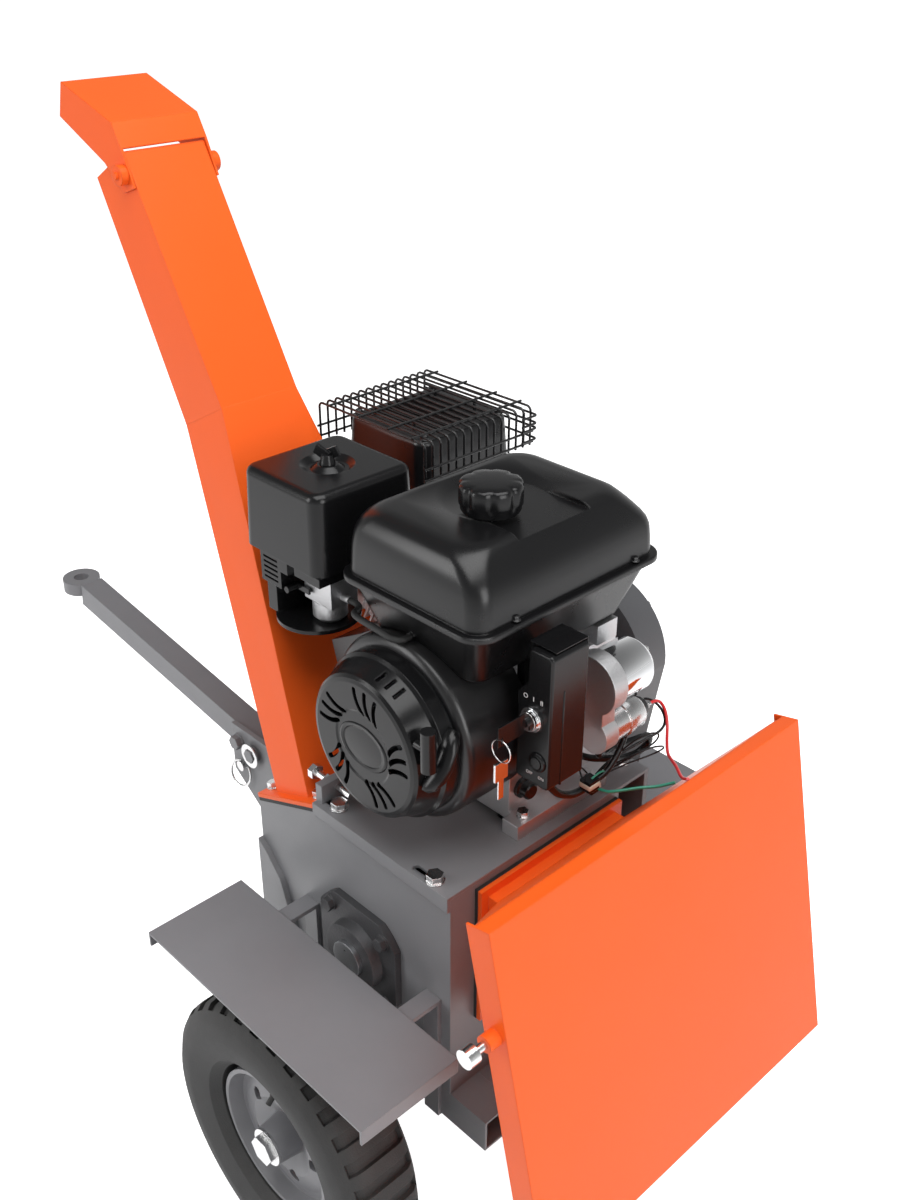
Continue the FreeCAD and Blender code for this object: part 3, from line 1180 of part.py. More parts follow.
# The cylinder leans back from the crankshaft; it is drawn level and turned up about the crank.
cylinder_lean = 25
fin_count = 8
fin_step = 11
barrel = [block((-192, -70), (-48, 48), (-44, 44))]
for index in range(fin_count):
    place = -104 - fin_step * index
    barrel.append(block((place - 3, place), (-52, 52), (-52, 52)))
head = block((-226, -192), (-52, 52), (-48, 48))
lean_turn = (VECTOR(0, 1, 0), cylinder_lean)
cylinder_raw = seat(joined(*barrel, head), d.crank_x, 0, crank_z, lean_turn)
node("cylinder", without(cylinder_raw,
                         block((case_rear, case_front + 60), (-90, 130), (deck_top, case_top - 40)),
                         block((case_rear + 22, case_front), (-90, 130), (deck_top, case_top))))

# Pressed rocker cover with round edges and a breather stub
cover = doc.addObject("Part::Box", unique("rocker_cover"))
bind(cover, Length=24, Width=88, Height=76)
seat(cover, -250, -44, -38)
round_cover = doc.addObject("Part::Fillet", unique("round_cover"))
round_cover.Base = cover
round_cover.Edges = [(index, 9.0, 9.0) for index in (1, 2, 3, 4, 9, 11)]
node("rocker_cover", seat(joined(round_cover, rod(-240, 20, 30, 7, 22, "Z")), d.crank_x, 0, crank_z, lean_turn))


def circle_at(level):
    """Picks the round edges that lie square to the crankshaft at one place along it."""
    return lambda edge: edge.BoundBox.YLength < 0.01 and abs(edge.BoundBox.YMin - float(sized(level))) < 0.01


# The blower shroud: a round housing for the flywheel, with a duct towards the cylinder
shroud_end = d.shroud_front + d.shroud_depth + 2
shroud_wall = 3
duct = [(-150, -45), (-172, 30), (-116, 62), (-62, 98), (0, 116), (0, -60)]
duct_inner = [(-147, -42), (-168, 28), (-114, 59), (-60, 94), (0, 111), (0, -57)]
duct_front = d.shroud_front + 42
duct_body = extruded("XZ_Plane", [(d.crank_x + x, crank_z + z) for x, z in duct], duct_front, shroud_end)
duct_room = extruded("XZ_Plane", [(d.crank_x + x, crank_z + z) for x, z in duct_inner],
                     duct_front + shroud_wall, shroud_end + 1)
shroud_round = 12
drum_wall = rounded(rod(d.crank_x, d.shroud_front, crank_z, d.shroud_radius, shroud_end - d.shroud_front, "Y"),
                    shroud_round, circle_at(d.shroud_front))
drum_room = rounded(rod(d.crank_x, d.shroud_front + shroud_wall, crank_z, d.shroud_radius - shroud_wall,
                        shroud_end - d.shroud_front - shroud_wall - 3, "Y"),
                    shroud_round - shroud_wall, circle_at(d.shroud_front + shroud_wall))
face_room = rod(d.crank_x, d.shroud_front - 1, crank_z, d.recoil_radius - 6, shroud_wall + 2, "Y")
shaft_room = rod(d.crank_x, d.shroud_front, crank_z, 40, 200, "Y")
node("shroud", without(joined(drum_wall, duct_body), duct_room, drum_room, face_room, shaft_room))


def recoil_cover():
    """A deep moulded cover: groups of three curved slots on its face and three slots in its side."""
    wall, rim_radius, deep = d.recoil_wall, d.recoil_radius, d.recoil_depth
    face = rim_radius * d.recoil_face
    ring = 18
    badge = 45
    profile = [(0, deep - wall), (face - 8, deep - wall), (face - 3, deep - wall - 4),
               (rim_radius - wall - 6, ring + 4),
               (rim_radius - wall, ring), (rim_radius - wall, 0), (rim_radius, 0), (rim_radius, ring + 2),
               (rim_radius - 4, ring + 6), (face + 1, deep - 9), (face - 0.5, deep - 4.5),
               (face - 4, deep - 1.3),
               (face - 9, deep), (badge + 3, deep), (badge, deep - 1.4), (0, deep - 1.4)]
    body = turned(profile, d.crank_x, d.shroud_front, crank_z, "-Y", stem="recoil")
    planes = {feature.Role: feature for feature in body.Origin.OriginFeatures}
    face_slots = sketch_on(body, planes["XY_Plane"])
    slot_step, slot_half = 14, 3.1
    for step in (-1, 0, 1):
        angle = math.radians(slot_step * step)
        centre = VECTOR(rim_radius.amount * 0.76, -rim_radius.amount * 0.22, 0)
        spot = FreeCAD.Rotation(VECTOR(0, 0, 1), slot_step * step).multVec(centre)
        draw_arc_slot(face_slots, (spot.x, spot.y), rim_radius * 0.385, slot_half,
                      math.radians(99) + angle, math.radians(143) + angle)
    face_cut = pocket(body, face_slots, reverse=True)
    side_slots = sketch_on(body, planes["YZ_Plane"])
    side_step, side_half = 15, 2.5
    for step in (-side_step, 0, side_step):
        draw_outline(side_slots, [(step - side_half, deep * 0.5), (step + side_half, deep * 0.5),
                                  (step + side_half, deep * 0.78), (step - side_half, deep * 0.78)])
    side_cut = pocket(body, side_slots, reverse=True)
    polar(body, planes, [face_cut, side_cut], d.recoil_groups)
    return body


node("recoil_cover", recoil_cover())

# Crankshaft with the flywheel, its fan blades and the starter cup
flywheel_y = d.shroud_front + 26
flywheel_radius = d.shroud_radius - 16
flywheel = rod(d.crank_x, flywheel_y, crank_z, flywheel_radius, 26, "Y")
blades = []
blade_count = 12
for index in range(blade_count):
    blade = block((flywheel_radius * 0.55, flywheel_radius - 2), (-1.5, 1.5), (0, 16))
    angle = 360 / blade_count * index
    turn = FreeCAD.Rotation(VECTOR(0, 1, 0), angle).multiply(FreeCAD.Rotation(VECTOR(1, 0, 0), 90))
    holder = joined(blade, rod(flywheel_radius * 0.6, 0, 0, 2, 16))
    blades.append(seat(holder, d.crank_x, flywheel_y, crank_z, turn))
cup = rod(d.crank_x, flywheel_y - 22, crank_z, 34, 22, "Y")
crank_rod = rod(d.crank_x, flywheel_y, crank_z, d.crank_radius, pulley_end - flywheel_y, "Y")
clutch = turned(pulley(d.clutch_radius, 0), d.crank_x, d.pulley_start, crank_z, "Y")
node("crankshaft", joined(flywheel, cup, crank_rod, clutch, *blades))

# ---------------------------------------------------------------------------------------------------------
# Fuel tank and cap
# ---------------------------------------------------------------------------------------------------------


def round_outline(x, y, level, corner):
    """A rectangle with round corners, lying level."""
    low_x, high_x, low_y, high_y = [float(sized(value)) for value in (*x, *y)]
    corner, level = float(sized(corner)), float(sized(level))
    diagonal = corner * (1 - math.sqrt(0.5))
    edges = [
        Part.LineSegment(VECTOR(low_x + corner, low_y, level), VECTOR(high_x - corner, low_y, level)),
        Part.Arc(VECTOR(high_x - corner, low_y, level), VECTOR(high_x - diagonal, low_y + diagonal, level),
                 VECTOR(high_x, low_y + corner, level)),
        Part.LineSegment(VECTOR(high_x, low_y + corner, level), VECTOR(high_x, high_y - corner, level)),
        Part.Arc(VECTOR(high_x, high_y - corner, level), VECTOR(high_x - diagonal, high_y - diagonal, level),
                 VECTOR(high_x - corner, high_y, level)),
        Part.LineSegment(VECTOR(high_x - corner, high_y, level), VECTOR(low_x + corner, high_y, level)),
        Part.Arc(VECTOR(low_x + corner, high_y, level), VECTOR(low_x + diagonal, high_y - diagonal, level),
                 VECTOR(low_x, high_y - corner, level)),
        Part.LineSegment(VECTOR(low_x, high_y - corner, level), VECTOR(low_x, low_y + corner, level)),
        Part.Arc(VECTOR(low_x, low_y + corner, level), VECTOR(low_x + diagonal, low_y + diagonal, level),
                 VECTOR(low_x + corner, low_y, level)),
    ]
    return Part.Wire([edge.toShape() for edge in edges])


def stacked(layers):
    """A solid through level round-cornered outlines: (inset, level, corner) from one rectangle."""
    outlines = [round_outline((x[0] + inset, x[1] - inset), (y[0] + inset, y[1] - inset), level, corner)
                for x, y, inset, level, corner in layers]
    return Part.makeLoft(outlines, True, True)


def top_edges(shape, level):
    return [edge for edge in shape.Edges
            if all(abs(vertex.Point.z - float(level)) < 0.01 for vertex in edge.Vertexes)]


tank_x, tank_y = (d.tank_rear, d.tank_front), (-d.tank_left, d.tank_right)
tank_top = lip_z + d.tank_upper
tank_foot = lip_z - d.tank_lower
reach, corner = d.lip_reach, d.tank_corner
top_round, foot_round, lip_round = 9, 8, 2
tank_top_x = (d.tank_rear + reach + 14, d.tank_front - reach - d.tank_chamfer)
tank_top_y = (21 + reach - d.tank_left, d.tank_right - reach - d.tank_chamfer * 0.9)
upper = stacked([(tank_x, tank_y, reach, lip_z, corner - reach),
                 (tank_x, tank_y, reach + 3, lip_z + d.tank_shoulder, corner - reach),
                 (tank_top_x, tank_top_y, 0, tank_top, corner - reach)])
upper = upper.makeFillet(top_round, top_edges(upper, tank_top))
lower = stacked([(tank_x, tank_y, reach, lip_z, corner - reach),
                 (tank_x, tank_y, reach + d.tank_inset, tank_foot, corner - reach)])
lower = lower.makeFillet(foot_round, top_edges(lower, tank_foot))
lip_ring = stacked([(tank_x, tank_y, 0, lip_z - d.lip_thick / 2, corner),
                    (tank_x, tank_y, 0, lip_z + d.lip_thick / 2, corner)])
lip_ring = lip_ring.makeFillet(lip_round, top_edges(lip_ring, lip_z + d.lip_thick / 2))

# A shallow well round the filler runs out over the front edge of the tank.
well_floor = tank_top - d.well_depth
well_mouth = [(d.well_x, d.well_y - d.well_radius), (d.tank_front, d.well_y - d.well_radius - 4),
              (d.tank_front, d.well_y + d.well_radius * 0.6), (d.well_x + 14, d.well_y + d.well_radius)]
well = joined(rod(d.well_x, d.well_y, well_floor, d.well_radius, d.well_depth + 1),
              extruded("XY_Plane", well_mouth, well_floor, tank_top + 1, stem="well"))
tank_room = rod(d.crank_x, -d.tank_left, crank_z, d.shroud_radius + 1.5, d.tank_left + shroud_end + 2, "Y")
spout_x, spout_y, spout_z = d.crank_x + 7, 19 - d.tank_left, lip_z - 48
spout = rod(spout_x, spout_y, spout_z, 4.5, 14, "Y")
neck_radius = d.cap_radius - 8
neck_rise = 12
filler = rod(d.cap_x, d.cap_y, well_floor - 1, neck_radius, neck_rise + d.well_depth + 1)
tank_shell = without(shaped(upper.fuse(lower).removeSplitter(), "tank_shell"), tank_room, well)
node("fuel_tank", joined(tank_shell, shaped(lip_ring, "tank_lip"), filler, spout))


def fuel_cap():
    """A round cap with eight scallops in its skirt."""
    radius, tall = d.cap_radius, d.cap_height
    body = turned([(0, 0), (radius - 4, 0), (radius, 4), (radius, tall - 7), (radius - 6, tall), (0, tall)],
                  d.cap_x, d.cap_y, tank_top + neck_rise + 0.3, stem="cap")
    planes = {feature.Role: feature for feature in body.Origin.OriginFeatures}
    scallop = sketch_on(body, planes["XY_Plane"])
    circle = scallop.addGeometry(Part.Circle(VECTOR(float(radius) + 6, 0, 0), VECTOR(0, 0, 1), 10), False)
    fix_point(scallop, circle, 3, radius + 6, 0)
    fix_radius(scallop, circle, 10)
    cut = pocket(body, scallop, reverse=True)
    polar(body, planes, cut, 8)
    return body


node("fuel_cap", fuel_cap())

# ---------------------------------------------------------------------------------------------------------
# Air cleaner, carburettor and muffler
# ---------------------------------------------------------------------------------------------------------

cleaner_x = (d.cleaner_x, d.cleaner_x + d.cleaner_length)
cleaner_y = (d.cleaner_y, d.cleaner_y + d.cleaner_width)
cleaner_low = deck_top + d.cleaner_base
cleaner_top = cleaner_low + d.cleaner_height
cleaner_corner, cleaner_taper, cleaner_round = 18, 3, 11
cover_shape = stacked([(cleaner_x, cleaner_y, 0, cleaner_low, cleaner_corner),
                       (cleaner_x, cleaner_y, cleaner_taper, cleaner_top, cleaner_corner)])
cover_shape = cover_shape.makeFillet(cleaner_round, top_edges(cover_shape, cleaner_top))
nut_x, nut_y = d.cleaner_x + d.cleaner_length * 0.5, d.cleaner_y + d.cleaner_width * 0.5
dish = cone(nut_x, nut_y, cleaner_top - 6, 26, 34, 6.01)
dish_floor = cone(nut_x, nut_y, cleaner_top - 6.5, 22, 13, 6)
apron_drop = 12
apron = block((d.cleaner_x + 100, d.cleaner_x + d.cleaner_length - 3), (d.cleaner_y + 2, d.cleaner_y + 74),
              (cleaner_low - apron_drop, cleaner_low))
node("air_cleaner_cover", joined(without(shaped(cover_shape, "cleaner_shell"), dish), dish_floor, apron))

base_plate_z = deck_top + 206
base_x, base_y = d.cleaner_x + 80, d.cleaner_y + 51
column_x = (d.cleaner_x + 22, d.cleaner_x + 76)
column_side = d.cleaner_y + 9
column = joined(block((column_x[0], column_x[1] - 14), (column_side, column_side + 78),
                      (cleaner_low - 48, cleaner_low)),
                block(column_x, (column_side, column_side + 78), (cleaner_low - 24, cleaner_low)),
                block((column_x[0] + 8, column_x[0] + 26), (column_side + 2, column_side + 70),
                      (base_plate_z + 5, cleaner_low - 48)))
louvre_count, louvre_step, louvre_tall = 5, 7, 3
louvres = [block((column_x[0] + 6, column_x[1] - 20), (column_side - 1, column_side + 3), (z, z + louvre_tall))
           for z in [cleaner_low - 42 + louvre_step * index for index in range(louvre_count)]]
plate = rod(base_x, base_y, base_plate_z, 54, 5)
node("air_cleaner_base", joined(without(column, *louvres), plate))

carb_x, carb_y = d.cleaner_x + 101, d.cleaner_y + 53
bowl_low = base_plate_z + 5
head_face = -52
bowl = turned([(0, 0), (17, 0), (22, 5), (22, 26), (0, 26)], carb_x, carb_y, bowl_low, stem="bowl")
body_low = bowl_low + 26
carb_body = block((carb_x - 24, carb_x + 28), (carb_y - 20, carb_y + 22), (body_low, cleaner_low - apron_drop))
inlet = block((carb_x - 24, carb_x + 4), (carb_y + 22, head_face), (body_low + 2, body_low + 28))
stub_y = carb_y - 20
lever_x, lever_z = carb_x - 12, body_low + 14
node("carburettor", without(joined(bowl, carb_body, inlet, rod(carb_x + 28, carb_y, body_low + 12, 5, 12, "X")),
                            rod(lever_x, stub_y - 1, lever_z, 3 + d.running_fit, 22, "Y")))

# Choke lever: a spindle in the carburettor with a cranked arm and a flattened tip
arm = [block((lever_x - 24, lever_x + 4), (stub_y - 6, stub_y - 3), (lever_z - 4, lever_z + 4)),
       rod(lever_x, stub_y - 6, lever_z, 3, 24, "Y"),
       rod(lever_x - 20, stub_y - 22, lever_z, 4.5, 19, "Y")]
node("choke_lever", joined(*arm))

wing_hub = cone(nut_x, nut_y, cleaner_top - 0.2, 10, 7, 12)
wings = [seat(block((4, 24), (-2, 2), (0, 13)), nut_x, nut_y, cleaner_top + 3.5,
              FreeCAD.Rotation(VECTOR(0, 0, 1), angle).multiply(FreeCAD.Rotation(VECTOR(0, 1, 0), -28)))
         for angle in (20, 200)]
node("wing_nut", joined(wing_hub, *wings))

muffler_x = (d.muffler_x, d.muffler_x + d.muffler_length)
muffler_y = (d.muffler_y, d.muffler_y + d.muffler_width)
muffler_low = deck_top + d.muffler_base
muffler_top = muffler_low + d.muffler_height
can = stacked([(muffler_x, muffler_y, 10, muffler_low, 14), (muffler_x, muffler_y, 10, muffler_top - 16, 14)])
pipe = block((muffler_x[1] - 54, muffler_x[1] - 18), (52, 78), (deck_top + 236, muffler_low + 2))
tail = rod(muffler_x[0] + 12, muffler_y[1] - 50, muffler_low + 34, 13, 22, "-X")
node("muffler", joined(shaped(can, "muffler_can"), pipe, tail))

shield = stacked([(muffler_x, muffler_y, 0, muffler_low + 24, 18), (muffler_x, muffler_y, 4, muffler_top, 18)])
shield = shield.makeFillet(10, top_edges(shield, muffler_top))
shield_room = stacked([(muffler_x, muffler_y, 2.5, muffler_low + 23, 16),
                       (muffler_x, muffler_y, 6.5, muffler_top - 2.5, 16)])
rib_shapes = [block((muffler_x[0] + 18, muffler_x[1] - 18), (y, y + 5), (muffler_top - 1, muffler_top + 2.5))
              for y in [muffler_y[0] + 18 + 15 * index for index in range(9)]]
tail_room = rod(muffler_x[0] + 12, muffler_y[1] - 50, muffler_low + 34, 15, 24, "-X")
shield_seats = [rod(x, y, muffler_top - 16, 5, 15) for x in (muffler_x[0] + 30, muffler_x[1] - 30)
                for y in (muffler_y[0] + 30, muffler_y[1] - 30)]
shield_shell = without(shaped(shield, "shield"), shaped(shield_room, "shield_room"), tail_room)
shield_shape = joined(shield_shell, *rib_shapes, *shield_seats)
node("muffler_shield", shield_shape)

# The wire guard over the shield: long wires bent down at both ends and tied by cross wires, on four
# short posts. Four more wires close its side, turn the corner and end on an upright wire.
wire = float(d.wire_radius)
weld = wire * 1.4
bend = 7
guard_x = (float(d.muffler_x) - 26, float(d.muffler_x) + 182)
guard_y = (float(d.muffler_y) - 19, float(d.muffler_y + d.muffler_width) + 6)
guard_z = float(muffler_top + d.guard_rise)
guard_low = guard_z - float(d.guard_drop)
last = int(DRIVING["guard_wires"]) - 1
wire_y = [guard_y[0] + (guard_y[1] - guard_y[0]) / last * index for index in range(last + 1)]


def cross_wire(x, z):
    return Part.makeCylinder(wire, guard_y[1] - guard_y[0] + 6, point(x, guard_y[0] - 3, z), VECTOR(0, 1, 0))


def welded(wires):
    return shaped(wires[0].fuse(wires[1:]), "guard_wires")


top_wires = [Part.makeCylinder(wire, guard_x[1] - guard_x[0] - bend * 2, point(guard_x[0] + bend, y, guard_z),
                               VECTOR(1, 0, 0)) for y in wire_y]
top_wires += [cross_wire(guard_x[0] + (guard_x[1] - guard_x[0]) * share, guard_z + weld)
              for share in (0.12, 0.4, 0.68, 0.9)]
ends = []
for x, way in ((guard_x[0], 1), (guard_x[1], -1)):
    drops = [round_path([point(x + bend * way, y, guard_z), point(x, y, guard_z), point(x, y, guard_low)],
                        [bend - 0.01], wire) for y in wire_y]
    ends.append(welded(drops + [cross_wire(x - weld * way, guard_low + rise) for rise in (5, 20)]))
side_y, hook_x, hook = guard_y[1] + wire * 2, guard_x[1] + 9, 28
side_route = [(guard_x[0] - 4, side_y), (hook_x, side_y), (hook_x, side_y - hook)]
side_wires = [round_path([point(x, y, guard_low + rise) for x, y in side_route], [5], wire)
              for rise in (11, 26, 33, 44)]
side_wires.append(Part.makeCylinder(wire, 46, point(hook_x - weld, side_y - hook + 5, guard_low + 6),
                                    VECTOR(0, 0, 1)))
posts = [rod(x, y, muffler_top - 1, wire + 0.6, guard_z - wire - muffler_top + 1)
         for x in (d.muffler_x + 40, d.muffler_x + d.muffler_length - 40) for y in (wire_y[3], wire_y[-4])]
node("wire_guard", group(welded(top_wires), *ends, welded(side_wires),
                         *[without(post, shield_shape) for post in posts]))

# ---------------------------------------------------------------------------------------------------------
# Electric start: motor, solenoid, key box, lock, key and button
# ---------------------------------------------------------------------------------------------------------

motor = turned([(0, 0), (d.starter_radius - 3, 0), (d.starter_radius, 3),
                (d.starter_radius, d.starter_length - 9), (d.starter_radius - 8, d.starter_length),
                (0, d.starter_length)], d.starter_x, d.starter_y, starter_z, "Y", stem="motor")
bracket = block((case_front, d.starter_x), (d.starter_y - 4, d.starter_y + 28),
                (starter_z - d.starter_radius, starter_z + 30))
solenoid_x, solenoid_z = d.starter_x + 6, starter_z - 68
solenoid_y = d.starter_y + 28
solenoid_radius = 21
casting = joined(rod(d.starter_x, d.starter_y - 4, starter_z, d.starter_radius + 4, 46, "Y"),
                 block((solenoid_x - 17, solenoid_x + 15), (d.starter_y - 4, solenoid_y),
                       (solenoid_z, starter_z)),
                 rod(solenoid_x, d.starter_y - 4, solenoid_z, solenoid_radius + 3, 32, "Y"))
coil = turned([(0, 0), (solenoid_radius, 0), (solenoid_radius, 46), (solenoid_radius - 4, 50),
               (solenoid_radius - 8, 50), (solenoid_radius - 8, 60), (0, 60)],
              solenoid_x, solenoid_y, solenoid_z, "Y", stem="coil")
clamp = rod(solenoid_x, solenoid_y + 18, solenoid_z, solenoid_radius + 1.5, 9, "Y")
terminals = [rod(solenoid_x + x, solenoid_y + 59, solenoid_z + 2, 3, 13, "Y") for x in (-6, 6)]
node("starter_motor", joined(motor, bracket, casting))
node("solenoid", joined(coil, clamp, *terminals))

box_x = (d.key_box_x, d.key_box_x + d.key_box_width)
box_y = (d.key_box_y, d.key_box_y + d.key_box_depth)
box_low = deck_top + d.key_box_base
box_top = box_low + d.key_box_height
key_box = extruded("XZ_Plane", [(box_x[0], box_low), (box_x[1], box_low), (box_x[1], box_top),
                                (box_x[0] + 15, box_top), (box_x[0] + 15, box_top - 44),
                                (box_x[0], box_top - 62)], box_y[0], box_y[1], stem="key_box")
softened(key_box, 6, lambda edge: edge.Length > 20 and abs(edge.tangentAt(edge.FirstParameter).y) > 0.99)
softened(key_box, 3, lambda edge: abs(edge.BoundBox.YMin - float(box_y[0])) < 0.01
         and edge.BoundBox.YLength < 0.01)
lock_x, lock_z = box_x[0] + 24, box_low + 88
button_x, button_z = box_x[0] + 34, box_low + 34
key_radius = 5
node("key_box", without(key_box, rod(button_x, box_y[0] - 1, button_z, 8.5, 14, "Y")))
node("key_bracket", joined(block((case_front, box_x[0]), (-50, -46), (box_low + 50, box_low + 122)),
                           block((case_front, case_front + 4), (-50, -20), (box_low + 50, box_low + 122))))

barrel_front = box_y[0] - 9
node("ignition_lock", without(joined(rod(lock_x, box_y[0], lock_z, 12, 9, "-Y"),
                                     rod(lock_x, box_y[0], lock_z, 15, 3, "-Y")),
                              rod(lock_x, box_y[0] + 1, lock_z, key_radius + d.running_fit, 12, "-Y")))

# The key: its round shank sits in the lock; a ring through the slot in its bow carries the spare key.
key_front = barrel_front - 26
bow = block((lock_x - 0.9, lock_x + 0.9), (key_front - 20, barrel_front - 4), (lock_z - 13, lock_z + 13))
ring_y, ring_z, ring_radius = key_front - 14, lock_z - 6, 14
ring_slot = 0.8 + d.running_fit
ring_hole = block((lock_x - 4, lock_x + 4), (ring_y - ring_slot, ring_y + ring_slot),
                  (ring_z - 4.6, ring_z + 4.6))
key_shank = rod(lock_x, barrel_front - 4, lock_z, key_radius, 12, "Y")
node("ignition_key", without(joined(key_shank, bow), ring_hole))
key_ring = doc.addObject("Part::Torus", unique("key_ring"))
bind(key_ring, Radius1=ring_radius, Radius2=0.8)
seat(key_ring, lock_x, ring_y, ring_z - ring_radius, TURNS["Y"])
spare = [block((lock_x - 1.5, lock_x + 1.5), (ring_y - 10, ring_y + 10),
               (lock_z - 58, ring_z - ring_radius * 2)),
         block((lock_x - 1, lock_x + 1), (ring_y - 4, ring_y + 4), (lock_z - 84, lock_z - 57))]
node("key_ring", joined(key_ring, *spare))
node("breaker_button", joined(rod(button_x, box_y[0] + 10, button_z, 7.5, 14, "-Y"),
                              rod(button_x, box_y[0] + 10, button_z, 8, 4, "-Y")))

# The starter grip stands at the rope guide on the recoil cover.
grip_x, grip_y, grip_z = d.crank_x + 89, d.shroud_front - d.recoil_depth + 12, crank_z + 18
node("starter_grip", joined(rod(grip_x + 14, grip_y - 4, grip_z, 9, 52, "Z"),
                            rod(grip_x - 5.8, grip_y - 4, grip_z + 26, 5, 20, "X")))


# ---------------------------------------------------------------------------------------------------------
# Fuel hose, wiring harness and the two loose wires
# ---------------------------------------------------------------------------------------------------------


def along(place, steps):
    """The points of a cord, given as steps from the place where it starts."""
    return [tuple(float(sized(start + step)) for start, step in zip(place, offset)) for offset in steps]


def tube(stem, spots, tube_radius):
    spots = [VECTOR(*spot) for spot in spots]
    return shaped(round_path(spots, even_radii(spots), tube_radius), stem)


# The fuel hose leaves the carburettor and turns into the spout under the front corner of the tank.
hose_start = (carb_x + 40, carb_y, body_low + 12)
hose_end = (spout_x, spout_y, spout_z)
cord("fuel_hose", along(hose_start, [(0, 0, 0), (18, 0, 0), (33, -15, 6)])
     + along(hose_end, [(-93, -4, -6), (-69, -15, 1), (-34, -16, 1), (-11, -17, 0), (0, -12, 0), (0, 0, 0)]), 4)

# The harness leaves the key box and the solenoid and ends in two connectors; a conduit loops from the
# starter to the crankcase.
key_exit = (box_x[0] + 22, box_y[0] + 35, box_low)
key_lead = tube("key_lead", along(key_exit, [(0, 0, -0.1), (0, 0, -23), (-2, 19, -47), (-5, 47, -65),
                                             (-8, 69, -72), (-9, 95, -73)]), 5)
coil_exit = (solenoid_x, solenoid_y + 33, solenoid_z - solenoid_radius)
coil_lead = tube("coil_lead", along(coil_exit, [(0, 0, -0.1), (0, 0, -12), (5, -18, -27), (8, -42, -41),
                                                (6, -65, -45)]), 4)
casting_exit = (solenoid_x, d.starter_y + 12, solenoid_z - solenoid_radius - 3)
case_entry = (case_front, 60, deck_top + 52)
conduit = tube("conduit", along(casting_exit, [(0, 0, -0.1), (0, 0, -12), (-6, 14, -20), (-10, 36, -24),
                                               (-10, 58, -30), (-10, 91, -36), (-12, 116, -44)])
               + along(case_entry, [(44, 98, -9), (38, 86, -23), (36, 58, -20), (34, 28, -7), (24, 8, -2),
                                    (13, 0, 0), (0.1, 0, 0)]), 4.5)
key_plug, coil_plug = along(key_exit, [(-9, 89, -73)])[0], along(coil_exit, [(6, -70, -44)])[0]
plugs = [block((key_plug[0] - 8, key_plug[0] + 9), (key_plug[1] - 8, key_plug[1] + 8),
               (key_plug[2] - 8, key_plug[2] + 8)),
         block((coil_plug[0] - 8, coil_plug[0] + 8), (coil_plug[1] - 9, coil_plug[1] + 9),
               (coil_plug[2] - 7, coil_plug[2] + 8))]
node("harness", group(joined(key_lead, plugs[0]), joined(coil_lead, plugs[1]), conduit))

# The red wire hangs from a terminal of the solenoid, the green one from the connector of the key lead.
terminal_end = (solenoid_x + 6, solenoid_y + 72, solenoid_z + 2)
cord("red_wire", along(terminal_end, [(0, 0, 0), (0, 14, 0), (5, 24, -15), (15, 19, -31), (31, -2, -39),
                                      (49, -24, -39), (67, -40, -31), (84, -54, -24), (98, -66, -22),
                                      (110, -76, -17.5), (122, -84, -7)]), 2)
plug_end = (key_plug[0] + 9, key_plug[1], key_plug[2])
cord("green_wire", along(plug_end, [(0, 0, 0), (14, 0, 0), (29, 12, 5), (45, 30, 9), (60, 46, 10),
                                    (76, 56, 20)]), 2)

# ---------------------------------------------------------------------------------------------------------
# Checks and export
# ---------------------------------------------------------------------------------------------------------

doc.recompute()
failed = [thing.Name for thing in doc.Objects if "Invalid" in thing.State or "Error" in thing.State]
for name, thing in nodes.items():
    if thing.Shape.isNull() or not thing.Shape.isValid() or not thing.Shape.Solids:
        failed.append(name)
if failed:
    raise RuntimeError(f"failed: {failed}")

os.makedirs("parts", exist_ok=True)
whole = FreeCAD.BoundBox()
for name, thing in nodes.items():
    thing.Shape.exportStep(f"parts/{name}.step")
    whole.add(thing.Shape.BoundBox)
print(len(nodes), "nodes", whole)
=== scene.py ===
import math

import bmesh
import bpy
from mathutils import Matrix, Vector


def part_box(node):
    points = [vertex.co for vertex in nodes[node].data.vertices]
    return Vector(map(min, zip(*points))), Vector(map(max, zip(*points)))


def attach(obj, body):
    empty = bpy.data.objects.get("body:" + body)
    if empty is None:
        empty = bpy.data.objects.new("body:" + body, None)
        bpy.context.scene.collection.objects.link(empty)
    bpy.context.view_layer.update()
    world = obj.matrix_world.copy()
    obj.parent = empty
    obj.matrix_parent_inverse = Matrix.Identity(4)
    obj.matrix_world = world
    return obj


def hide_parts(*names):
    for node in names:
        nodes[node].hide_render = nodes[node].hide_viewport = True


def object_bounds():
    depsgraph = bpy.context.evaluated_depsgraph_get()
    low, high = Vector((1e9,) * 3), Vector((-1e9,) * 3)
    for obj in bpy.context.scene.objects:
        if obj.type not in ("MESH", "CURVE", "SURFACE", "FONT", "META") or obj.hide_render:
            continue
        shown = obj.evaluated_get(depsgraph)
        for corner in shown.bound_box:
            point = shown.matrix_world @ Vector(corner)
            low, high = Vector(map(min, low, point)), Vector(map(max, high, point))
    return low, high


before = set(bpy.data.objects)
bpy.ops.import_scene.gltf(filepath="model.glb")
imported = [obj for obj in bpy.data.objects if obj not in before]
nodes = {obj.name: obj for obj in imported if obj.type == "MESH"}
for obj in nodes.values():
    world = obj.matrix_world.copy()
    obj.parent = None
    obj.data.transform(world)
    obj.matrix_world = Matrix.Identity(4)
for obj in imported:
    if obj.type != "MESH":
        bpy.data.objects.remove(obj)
cad_low, cad_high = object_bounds()

# ---------------------------------------------------------------------------------------------------------
# Studio: a plain white sweep that keeps the shadow, one wide soft box overhead, a weaker one at each
# side, and a long lens that looks down on the engine from the recoil starter's corner.
# ---------------------------------------------------------------------------------------------------------

scene = bpy.context.scene
scene.view_settings.view_transform = "Standard"

